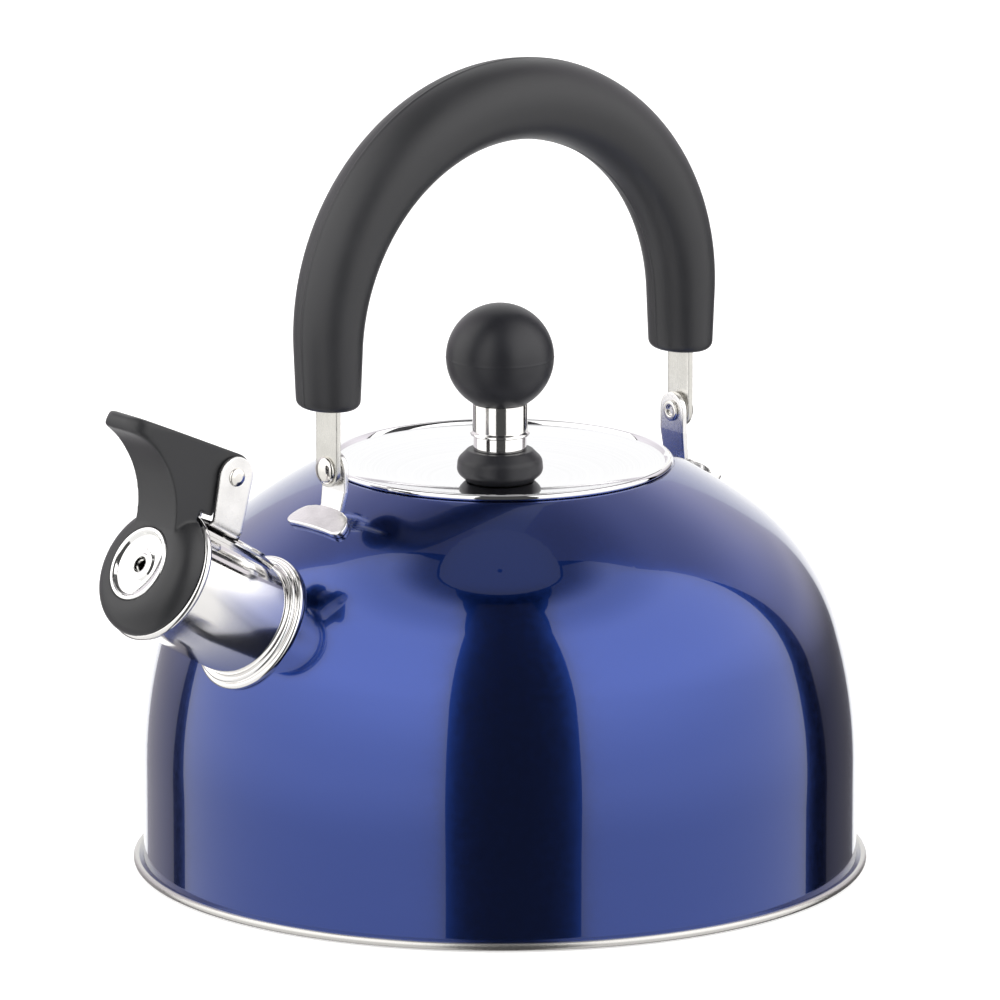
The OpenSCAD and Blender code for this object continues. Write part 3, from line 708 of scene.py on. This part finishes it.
def ear_edges(t):
    """Where an ear begins and ends along the spout, at a height above its axis."""
    def line(t0, s0, t1, s1):
        return s0 + (s1 - s0) * (t - t0) / (t1 - t0)

    bow = math.sqrt(max(ear_r**2 - (t - pin_t) ** 2, 0.0))
    low, high = pin_s - bow, pin_s + bow
    if t < pin_t + tangent_t:
        low = line(web_t, ear_base - ear_half, pin_t + tangent_t, pin_s - tangent_s)
    if t < pin_t - tangent_t:
        high = line(web_t, ear_base + ear_half, pin_t - tangent_t, pin_s + tangent_s)
    return low, high


def make_ears():
    """One bent sheet makes both ears and the web between them."""
    bend = 1.5
    turns = (90, 84, 76, 66, 54, 40, 25, 13, 0, -13)
    top = [pin_t + ear_r * math.sin(math.radians(a)) for a in turns]
    side = top + [web_t + bend + 8, web_t + bend + 4]
    half_path = [(ear_mid, t) for t in side]
    half_path += [(x, t) for x, t in arc((ear_mid - bend, web_t + bend), bend, 0, -90, 6)]
    half_path += [(3, web_t)]
    path = half_path + [(-y, t) for y, t in reversed(half_path)]
    stations = []
    for i, (y, t) in enumerate(path):
        y0, t0 = path[max(i - 1, 0)]
        y1, t1 = path[min(i + 1, len(path) - 1)]
        ahead = Vector((t1 - t0, y1 - y0, 0)).normalized()
        normal = Vector((ahead.y, -ahead.x, 0))
        low, high = ear_edges(t)
        stations.append((Vector((t, y, 0)), normal, low, high))
    sheet_piece = ribbon("hinge_sheet", stations, Vector((0, 0, 1)), ear_t, 0.2, spout_place())
    finish_piece(sheet_piece, "kettle", "bracket_steel", ["hinge_bracket"], BRACKET_STEEL)


def make_rail():
    """Strip with a raised rib, soldered along the top of the spout; half widths in degrees."""
    rail_half = 22.6
    rib_half = 6.4
    strip_r = spout_r + 1.1
    rib = (spout_r + 0.4, 0.0)
    outline = arc((0, 0), spout_r + 0.02, -rail_half, rail_half, 16)
    outline += arc((0, 0), strip_r, rail_half, rib_half, 8)
    outline += arc(rib, 1.7, 62, -62, 14)
    outline += arc((0, 0), strip_r, -rib_half, -rail_half, 8)
    rail_start, rail_stop = 4.5, 31.0
    middle = spout_place(s=(rail_start + rail_stop) / 2)
    rail = plate("spout_rail", outline, rail_stop - rail_start, middle, 0.12)
    finish_piece(rail, "kettle", "bracket_steel", ["hinge_bracket"], SPOUT_CHROME)


def make_pin():
    """Hinge pin of the cap: a shaft with a peened head outside each ear."""
    shaft_r = 1.6
    head_at = 10.42
    corners = [(0, 11.35, 0), (1.2, 11.3, 0.3), (2.35, 10.9, 0.5), (2.6, 10.43, 0.1), (0, head_at, 0)]
    head = rounded(corners, closed=False)[:-1]
    shaft = [(shaft_r, head_at), (shaft_r, -head_at)]
    outline = head + shaft + [(r, -z) for r, z in reversed(head)]
    rod = lathe("hinge_rod", outline, facing(pin, sideways), around=64)
    finish_piece(rod, "kettle", "bracket_steel", ["hinge_pin"], RIVET_CHROME)


def make_spring():
    """Torsion spring: coils round the pin, one leg along the lever and one down to the rail."""
    coil_r, pitch, coils, wire_r = 3.4, 1.5, 3, 0.55
    long_leg = 14
    first, last = 180, 90 + 360 * coils
    steps = 108

    def coil(a):
        turn = math.radians(a)
        shift = (0.5 - (a - first) / (last - first)) * pitch * coils
        return Vector((coil_r * math.cos(turn), shift, coil_r * math.sin(turn)))

    path = [coil(first) + Vector((0, 0, long_leg - i)) for i in range(long_leg)]
    path += [coil(first + i * (last - first) / steps) for i in range(steps + 1)]
    lean = math.radians(15)
    leg = (pin_t - coil_r * math.sin(lean) - (spout_r + 2.1) - 0.3) / math.cos(lean)
    path += [coil(last) - Vector((leg * i / 6, 0, 0)) for i in range(1, 7)]
    turn = Matrix.Rotation(-lean, 4, "Y")
    coil_piece = wire("cap_spring", path, wire_r, spout_place(pin_t, 0, pin_s) @ turn)
    finish_piece(coil_piece, "kettle", "spring_wire", ["return_spring"], WIRE_STEEL)


def make_cap():
    """Lever and cap in one moulding, the stop pad behind them, and the metal whistle cup."""
    tip_start, tip_full = 55, 63

    def near_tip(point):
        reach = (point - spout_root).dot(along_spout)
        return min(max((reach - tip_start) / (tip_full - tip_start), 0.0), 1.0)

    lever = moulded("cap_lever", "whistle_lever", 0.30, 12, near_tip)
    finish_piece(lever, "cap", "black_plastic", ["whistle_lever"], CAP_BLACK)
    pad = moulded("stop_pad", "heel_pad", 0.16, 6)
    finish_piece(pad, "kettle", "black_rubber", ["heel_pad"], RUBBER)

    # the cup's rings, between its rear edge and its front face along the spout
    back, front = 36.9, 42.1
    corners = [
        (2.2, back, 0), (2.2, front - 0.6, 0.25), (2.9, front - 0.5, 0.3), (3.4, front - 0.8, 0.3),
        (4.3, front - 0.7, 0.4), (4.9, front - 1.6, 0.4), (8.6, front - 1.0, 0.5), (9.1, front - 0.1, 0.3),
        (9.5, front + 0.3, 0.35), (10.3, front + 0.25, 0.35), (10.5, front - 0.3, 0.3), (10.5, back, 0.2),
        (9.9, back, 0.2), (9.9, front - 1.1, 0.4), (8.7, front - 1.5, 0.5), (5.2, front - 2.1, 0.5),
        (3.4, front - 1.5, 0.4), (2.9, back, 0),
    ]
    cup = lathe("cup", rounded(corners), spout_place(), around=128)
    finish_piece(cup, "cap", "lid_chrome", ["whistle_cup"], CUP_CHROME)


# ---------- bail handle ----------

arch_len = math.pi * arch_r / 2
half_len = arch_len + arch_z - grip_end


def bail_point(d):
    """Middle of the bail at distance d from its crown, and its outward direction."""
    side = math.copysign(1, d)
    if abs(d) > arch_len:
        return Vector((pivot.x + side * arch_r, 0, arch_z - (abs(d) - arch_len))), Vector((side, 0, 0))
    out = Vector((math.sin(d / arch_r), 0, math.cos(d / arch_r)))
    return Vector((pivot.x, 0, arch_z)) + arch_r * out, out


def make_grip():
    """Moulded grip: oval section, fullest at the crown, with a fine parting line."""
    # half thickness outwards and half width, at the crown and at the ends; the CAD box's
    # widest point is a little above the ends, where the grip has begun to swell
    crown_a = grip_high.z - arch_z - arch_r
    crown_b = grip_high.y
    end_a = min(grip_high.x - (pivot.x + arch_r), 8.2)
    end_b = 9.6
    end_round = 2.2
    ridge = 0.10
    slot_play, slot_depth = 0.3, 10
    ends = [0, 0.1, 0.3, 0.6, 1.0, 1.5, end_round]
    steps = 150
    run = 2 * half_len - 2 * end_round
    stops = [-half_len + e for e in ends[:-1]]
    stops += [-half_len + end_round + run * i / steps for i in range(steps + 1)]
    stops += [half_len - e for e in reversed(ends[:-1])]
    turns = [360 * k / 72 for k in range(72)] + [1, 1.8, 358.2, 359, 179, 178.2, 181, 181.8]
    turns.sort()
    rings = []
    for d in stops:
        middle, out = bail_point(d)
        near = half_len - abs(d)
        inset = end_round - math.sqrt(end_round**2 - (end_round - near) ** 2) if near < end_round else 0
        swell = 1 - (d / half_len) ** 2
        a = end_a + (crown_a - end_a) * swell - inset
        b = end_b + (crown_b - end_b) * swell - inset
        ring = []
        for turn in turns:
            w = math.radians(turn)
            on_line = turn % 180 < 1.01 or turn % 180 > 178.99
            lift = ridge if on_line and inset < 0.2 else 0
            ring.append(middle + (a + lift - 0.1) * math.cos(w) * out + b * math.sin(w) * sideways)
        rings.append(ring)
    grip = skin("grip", rings)
    for side in (-1, 1):
        bm = bmesh.new()
        slot_size = (strap_t + slot_play, strap_w + slot_play, slot_depth)
        bmesh.ops.create_cube(bm, size=1, matrix=Matrix.Diagonal((*slot_size, 1)))
        place = Matrix.Translation((pivot.x + side * arch_r, 0, grip_end))
        drill(grip, from_bmesh("slot_cutter", bm, place))
    finish_piece(grip, "bail", "black_plastic", ["handle_grip"], GRIP_BLACK)


def make_strap():
    """Flat steel band from pivot to pivot, with half-round ends."""
    end_r = strap_w / 2
    total = arch_len + arch_z - pivot.z + end_r
    # distances from an end at which the outline is drawn, closest where it turns most
    near = [0.0, 0.03, 0.1, 0.22, 0.4, 0.7, 1.1, 1.6, 2.2, 3.0, 4.0, end_r]
    stops = [-total + e for e in near] + [-total + end_r + 6, -arch_len - 4]
    stops += [-arch_len + 2 * arch_len * i / 60 for i in range(61)]
    stops += [arch_len + 4, total - end_r - 6] + [total - e for e in reversed(near)]
    stations = []
    for d in stops:
        middle, out = bail_point(d)
        e = total - abs(d)
        half = math.sqrt(end_r**2 - (end_r - e) ** 2) if e < end_r else end_r
        stations.append((middle, out, -half, half))
    band = ribbon("strap", stations, sideways, strap_t)
    finish_piece(band, "bail", "strap_steel", ["handle_strap"], STRAP_STEEL)


# ---------- brackets and rivets ----------

# the foot reaches foot_reach out from the tab and slopes with the dome
foot_half = 11.8
foot_reach = 8.4
foot_slope = math.radians(33)
toe_corner = 2.4
heel_corner = 6.0
tab_half = 5.0


def make_bracket(name, node, side, leg_r):
    """Pressed sheet: a foot that follows the dome and a tab that stands up from it."""
    tab_x = leg_r - strap_t / 2 - tab_gap - tab_t / 2
    toe_x = tab_x - tab_t / 2 + 0.4 + foot_reach
    top_z = pivot.z + tab_half
    # the tab leans and narrows towards the foot
    bend = 1.8
    lean = 1.0
    waist = 4.3
    widen = 0.12
    # the sheet's middle stands this far off the dome, and lets go of it over this length
    lift = tab_t / 2 + 0.06
    let_go = 4

    def on_foot(r):
        part = 2 if r < high_join.x else 1
        out = (Vector((r, dome_z(r))) - arc_c[part]).normalized()
        return Vector((r, dome_z(r))) + lift * out

    foot = [on_foot(toe_x - lift * 0.5 - k * (toe_x - tab_x - lean - 1.6) / 8) for k in range(9)]
    corner = on_foot(tab_x + lean)
    corner.x = tab_x + lean
    upright = [(*corner, bend), (tab_x, pivot.z - tab_half - 0.6, 2.0), (tab_x, top_z, 0)]
    path = rounded([(*p, 0) for p in foot] + upright, closed=False, steps=7)
    lower = path[:-1]
    rise = [lower[-1][1] + (pivot.z - lower[-1][1]) * k / 6 for k in range(1, 7)]
    path = lower + [(tab_x, z) for z in rise]
    turns = (10, 22, 35, 48, 60, 70, 78, 84, 90)
    path += [(tab_x, pivot.z + tab_half * math.sin(math.radians(a))) for a in turns]
    fine = []
    for (x0, z0), (x1, z1) in zip(path[:8], path[1:9]):
        fine += [(x0 + (x1 - x0) * k / 3, z0 + (z1 - z0) * k / 3) for k in range(3)]
    path = fine + path[8:]

    stations, conform, gone = [], [], 0.0
    shoulder = (toe_x - tab_x - lean - 0.8) / math.cos(foot_slope)
    for i, (x, z) in enumerate(path):
        if i:
            gone += math.dist(path[i - 1], path[i])
        ahead = Vector(path[min(i + 1, len(path) - 1)]) - Vector(path[max(i - 1, 0)])
        normal = Vector((ahead.y, 0, -ahead.x)).normalized()
        if z > pivot.z:
            half = math.sqrt(max(tab_half**2 - (z - pivot.z) ** 2, 0))
        elif gone > shoulder:
            half = min(waist + widen * (gone - shoulder), tab_half)
        else:
            half = foot_half
            for reach, radius in ((gone, toe_corner), (shoulder - gone, heel_corner)):
                if reach < radius:
                    half -= radius - math.sqrt(radius**2 - (radius - reach) ** 2)
        stations.append((Vector((x, 0, z)), normal, -half, half))
        conform.append(1.0 if gone <= shoulder + 0.5 else max(0.0, 1 - (gone - shoulder) / let_go))

    def drape(number, point):
        """Lets the foot follow the dome sideways too."""
        drop = dome_z(point.x) - dome_z(math.hypot(point.x, point.y)) if conform[number] > 0 else 0
        return Vector((side * point.x, point.y, point.z - conform[number] * drop))

    piece = ribbon(name, stations, sideways, tab_t, drape=drape)
    finish_piece(piece, "kettle", "bracket_steel", [node], BRACKET_STEEL)


def make_rivet(name, nodes, side, leg_r):
    """Tubular rivet: domed head outside the strap, rolled eyelet inside the tab."""
    head_x = leg_r + strap_t / 2 + 0.05
    inner = leg_r - strap_t / 2 - tab_gap - tab_t
    shank, head_r, crown, rim = 2.0, 3.8, 1.7, 0.3
    steps = 14
    curl = 0.4
    curl_z = inner - curl - 0.02
    hollow_r, hollow_z = 1.3, inner + 1.2
    outline = [(0, head_x + rim + crown)]
    for k in range(1, steps + 1):
        w = math.radians(90 * k / steps)
        outline.append((head_r * math.sin(w), head_x + rim + crown * math.cos(w)))
    foot = [(head_r, head_x + rim, 0), (head_r, head_x, 0.2), (shank, head_x, 0)]
    outline += rounded(foot, closed=False)[1:]
    outline += [(shank, inner - 0.02)]
    outline += arc((2.5, curl_z), curl, 90, -90, 10)
    outline += arc((1.75, curl_z), curl, -90, -180, 5)
    outline += [(hollow_r, hollow_z), (0, hollow_z)]
    axis = Vector((side, 0, 0))
    rivet = lathe(name, outline, facing(Vector((0, 0, pivot.z)), axis), around=72)
    finish_piece(rivet, "kettle", "rivet_chrome", nodes, RIVET_CHROME)


# ---------- lid and knob ----------


def make_lid():
    """Dished sheet whose edge is rolled into a bead."""
    bead = 0.9
    bead_x = lid_high.x - bead
    bead_z = lid_high.z - bead
    dish = 6.0
    thick = 0.7
    dish_r = (bead_x**2 + dish**2) / (2 * dish)
    centre_z = bead_z - dish + dish_r

    def bowl(radius, start, stop, steps):
        stops = [start + (stop - start) * i / steps for i in range(steps + 1)]
        return [(r, centre_z - math.sqrt(radius**2 - r**2)) for r in stops]

    outline = bowl(dish_r, screw_bore, bead_x - 1.3, 26)
    outline += arc((bead_x, bead_z), bead, 140, -90, 20)
    outline += bowl(dish_r + thick, bead_x - 1.1, screw_bore, 16)
    cover = lathe("lid_pan", outline, around=320)
    finish_piece(cover, "lid", "lid_chrome", ["lid_cover"], LID_CHROME)


def make_knob_foot():
    """Plastic foot under the knob, fullest below its middle."""
    low, high = foot_low.z, foot_high.z
    wide = foot_high.x
    corners = [
        (screw_bore, low + 0.1, 0), (9.2, low + 0.12, 0.4), (wide, low + 2.4, 2.6),
        (wide - 0.3, high - 2.6, 2.8), (8.9, high, 0.9), (screw_bore, high, 0),
    ]
    foot = lathe("knob_seat", rounded(corners, steps=10), around=160)
    finish_piece(foot, "lid", "black_plastic", ["knob_foot"], KNOB_BLACK)


def make_ferrule():
    """Polished post with a turned ring round its lower part."""
    bottom, top = ferrule_low.z, ferrule_high.z
    lip_z = bottom + 4.6
    lip_r = ferrule_high.x
    post = lip_r - 0.65
    corners = [
        (screw_bore, bottom, 0), (post - 0.25, bottom, 0.2), (post - 0.25, lip_z - 0.65, 0.15),
        (lip_r - 0.1, lip_z - 0.6, 0.4), (lip_r, lip_z + 0.1, 0.4), (lip_r - 0.5, lip_z + 0.55, 0.25),
        (post, lip_z + 0.7, 0.15), (post, top - 0.1, 0.2), (post - 0.5, top, 0.2),
        (screw_bore, top - 2.0, 0),
    ]
    ferrule = lathe("knob_post", rounded(corners, steps=4), around=128)
    finish_piece(ferrule, "lid", "rivet_chrome", ["knob_ferrule"], POST_CHROME)


def make_ball():
    """Moulded ball with a flat underside and a fine parting line round its middle."""
    radius = ball_high.x
    middle = ball_high.z - radius
    seam, seam_half, seam_turn = 0.06, 0.12, 1.2
    under_z = middle - radius * 0.9
    under_r, edge_r = 6.1, 6.6
    outline = [(0, under_z), (under_r, under_z)]
    start = math.degrees(math.asin(-math.sqrt(1 - (edge_r / radius) ** 2)))
    outline += arc((0, middle), radius, start, -seam_turn, 40)
    outline += [(radius + seam, middle - seam_half), (radius + seam, middle + seam_half)]
    outline += arc((0, middle), radius, seam_turn, 90, 56)
    outline[-1] = (0, middle + radius)
    ball = lathe("ball", outline, around=160)
    finish_piece(ball, "lid", "black_plastic", ["knob_ball"], KNOB_BLACK)


def dress_cad_nodes():
    """The hidden and internal CAD pieces keep their shape and take a finish."""
    finishes = {
        "base_disc": ALLOY,
        "bail_washers": BRACKET_STEEL,
        "lid_skirt": INNER_STEEL,
        "knob_screw": BRACKET_STEEL,
        "knob_washer": BRACKET_STEEL,
        "whistle_plate": CUP_CHROME,
    }
    for node, material in finishes.items():
        item = frame["nodes"][node]
        item.data.materials.clear()
        item.data.materials.append(material)


# ---------- studio ----------

heading = math.radians(37.7)
to_camera = Vector((-math.sin(heading), -math.cos(heading), 0))
# Radius of the tent of light panels round the kettle, in metres.
PANEL_R = 1.6


def stage_shader(name, base, glow):
    """Material for the stage: matt, with its own colours of paint and of light."""
    material = bpy.data.materials.new(name)
    material.use_nodes = True
    shader = material.node_tree.nodes["Principled BSDF"]
    shader.inputs["Base Color"].default_value = (*base, 1)
    shader.inputs["Roughness"].default_value = 0.9
    shader.inputs["Emission Color"].default_value = (*glow, 1)
    return material, shader


def floor_paint():
    """Pale paint that glows enough to stay even under the kettle."""
    material, shader = stage_shader("floor_paint", (0.93, 0.93, 0.93), (1, 1, 1))
    shader.inputs["Emission Strength"].default_value = 0.4
    return material


def panel_light(name, colour, strength, fade):
    """Light panel whose strength fades with height. A stop of fade is (height, share)."""
    material, shader = stage_shader(name, (0, 0, 0), colour)
    shader.inputs["Specular IOR Level"].default_value = 0
    tree = material.node_tree
    coords = tree.nodes.new("ShaderNodeTexCoord")
    split = tree.nodes.new("ShaderNodeSeparateXYZ")
    tree.links.new(coords.outputs["Object"], split.inputs["Vector"])
    ramp = tree.nodes.new("ShaderNodeValToRGB")
    ramp.color_ramp.interpolation = "EASE"
    stops = ramp.color_ramp.elements
    stops[0].position, stops[1].position = fade[0][0], fade[-1][0]
    for position, _ in fade[1:-1]:
        stops.new(position)
    for stop, (_, value) in zip(stops, fade):
        stop.color = (value, value, value, 1)
    ranged = tree.nodes.new("ShaderNodeMapRange")
    ranged.inputs["From Min"].default_value = -PANEL_R
    ranged.inputs["From Max"].default_value = PANEL_R
    tree.links.new(split.outputs["Z"], ranged.inputs["Value"])
    tree.links.new(ranged.outputs["Result"], ramp.inputs["Fac"])
    scaled = tree.nodes.new("ShaderNodeMath")
    scaled.operation = "MULTIPLY"
    scaled.inputs[1].default_value = strength
    tree.links.new(ramp.outputs["Color"], scaled.inputs[0])
    tree.links.new(scaled.outputs[0], shader.inputs["Emission Strength"])
    return material


def panel(name, stops, material):
    """Curved light panel round the kettle. A stop is (height, from, to): its edges at
    that height, as turns from the camera's heading."""
    columns, steps = 24, 6
    rows = []
    for stop, after in zip(stops, stops[1:]):
        rows += [[a + (b - a) * i / steps for a, b in zip(stop, after)] for i in range(steps)]
    rows.append(stops[-1])
    bm = bmesh.new()
    grid = []
    for rise, start, stop in rows:
        up = math.radians(rise)
        line = []
        for i in range(columns + 1):
            turn = math.radians(start + (stop - start) * i / columns)
            flat = Matrix.Rotation(turn, 3, "Z") @ to_camera
            line.append(bm.verts.new(PANEL_R * (flat * math.cos(up) + Vector((0, 0, math.sin(up))))))
        grid.append(line)
    for low, high in zip(grid, grid[1:]):
        for i in range(columns):
            bm.faces.new((low[i], low[i + 1], high[i + 1], high[i]))
    mesh = bpy.data.meshes.new(name)
    bm.to_mesh(mesh)
    bm.free()
    item = mesh_object(name, mesh)
    item.data.materials.append(material)
    item.visible_camera = False


def make_floor():
    """Plain round floor just under the base."""
    floor_mesh = bpy.data.meshes.new("floor")
    bm = bmesh.new()
    bmesh.ops.create_circle(bm, cap_ends=True, segments=96, radius=4.0)
    bm.to_mesh(floor_mesh)
    bm.free()
    floor = mesh_object("floor", floor_mesh)
    floor.location.z = -0.0002
    floor.data.materials.append(floor_paint())
    floor.visible_glossy = False
    floor.visible_shadow = False


def make_studio():
    """Light tent with a dark slot facing the kettle, and a white world behind it all."""
    # height fades, from the bottom of the tent (0) to its top (1)
    side_fade = [(0.0, 0.48), (0.38, 0.54), (0.52, 0.72), (0.72, 1.0), (0.88, 1.0), (0.955, 0.7)]
    side_fade += [(0.986, 0.15)]
    back_fade = [(0.0, 0.8), (0.37, 1.0), (0.5, 0.87), (0.62, 0.85), (0.88, 0.9), (0.95, 0.45)]
    back_fade += [(0.98, 0.3)]
    right_fade = [(0.0, 0.1), (0.46, 0.13), (0.62, 0.75), (0.75, 0.95), (0.9, 0.65), (0.98, 0.3)]
    left_fade = [(0.0, 0.3), (0.46, 0.38), (0.62, 0.8), (0.75, 0.95), (0.9, 0.65), (0.98, 0.3)]
    even = [(0.0, 1.0), (1.0, 1.0)]
    side = panel_light("side_light", (1.0, 0.99, 0.98), 1.9, side_fade)
    back = panel_light("back_light", (1.0, 1.0, 1.0), 1.3, back_fade)
    right_wing = panel_light("right_wing_light", (1.0, 0.95, 1.0), 1.05, right_fade)
    left_wing = panel_light("left_wing_light", (1.0, 0.95, 1.0), 1.05, left_fade)
    dim = panel_light("slot_light", (1.0, 1.0, 1.0), 0.07, even)
    roof = panel_light("roof_light", (1.0, 1.0, 1.0), 0.45, even)
    panels = [
        ("left_panel", side,
         [(-80, -120, -16.8), (55, -120, -16.8), (66, -120, -21), (72, -118, -30), (77, -112, -50)]),
        ("right_panel", side,
         [(-80, 25.3, 114), (55, 25.3, 114), (66, 28.5, 114), (72, 40, 112), (77, 60, 106)]),
        ("slot_panel", dim, [(-80, -16.7, 25.2), (72, -16.7, 25.2)]),
        ("back_panel", back, [(-80, 158, 202), (78, 158, 202)]),
        ("right_wing", right_wing,
         [(-80, 134, 158), (-12, 128, 158), (15, 121, 158), (45, 114.1, 158), (78, 112, 158)]),
        ("left_wing", left_wing,
         [(-80, 202, 226), (-12, 202, 232), (15, 202, 237), (45, 202, 239.9), (78, 202, 240)]),
        ("roof_panel", roof, [(77.5, 0, 360), (89.5, 0, 360)]),
    ]
    for name, material, stops in panels:
        panel(name, stops, material)

    world = bpy.data.worlds.new("studio")
    bpy.context.scene.world = world
    world.use_nodes = True
    world.node_tree.nodes["Background"].inputs["Color"].default_value = (1, 1, 1, 1)
    world.cycles_visibility.diffuse = False
    world.cycles_visibility.glossy = False
    bpy.context.scene.view_settings.view_transform = "Standard"


def make_camera():
    """The photograph's view: a long lens from the front left, a little above."""
    reach = 4.0
    height = 1.040
    pitch = math.radians(13.22)
    camera = bpy.data.cameras.new("camera")
    camera.lens = 544.9
    camera.sensor_width = 36
    item = bpy.data.objects.new("camera", camera)
    bpy.context.scene.collection.objects.link(item)
    item.location = reach * to_camera + Vector((0, 0, height))
    look = -to_camera * math.cos(pitch) - Vector((0, 0, math.sin(pitch)))
    item.rotation_euler = look.to_track_quat("-Z", "Y").to_euler()
    bpy.context.scene.camera = item


make_camera()
make_body()
make_base()
make_spout()
make_collar()
make_ears()
make_rail()
make_pin()
make_spring()
make_cap()
make_grip()
make_strap()
front_leg = arch_r - pivot.x
rear_leg = arch_r + pivot.x
make_bracket("bracket_front", "front_bracket", -1, front_leg)
make_bracket("bracket_rear", "rear_bracket", 1, rear_leg)
make_rivet("rivet_front", ["bail_rivets"], -1, front_leg)
make_rivet("rivet_rear", ["bail_rivets"], 1, rear_leg)
make_lid()
make_knob_foot()
make_ferrule()
make_ball()
dress_cad_nodes()
make_floor()
make_studio()
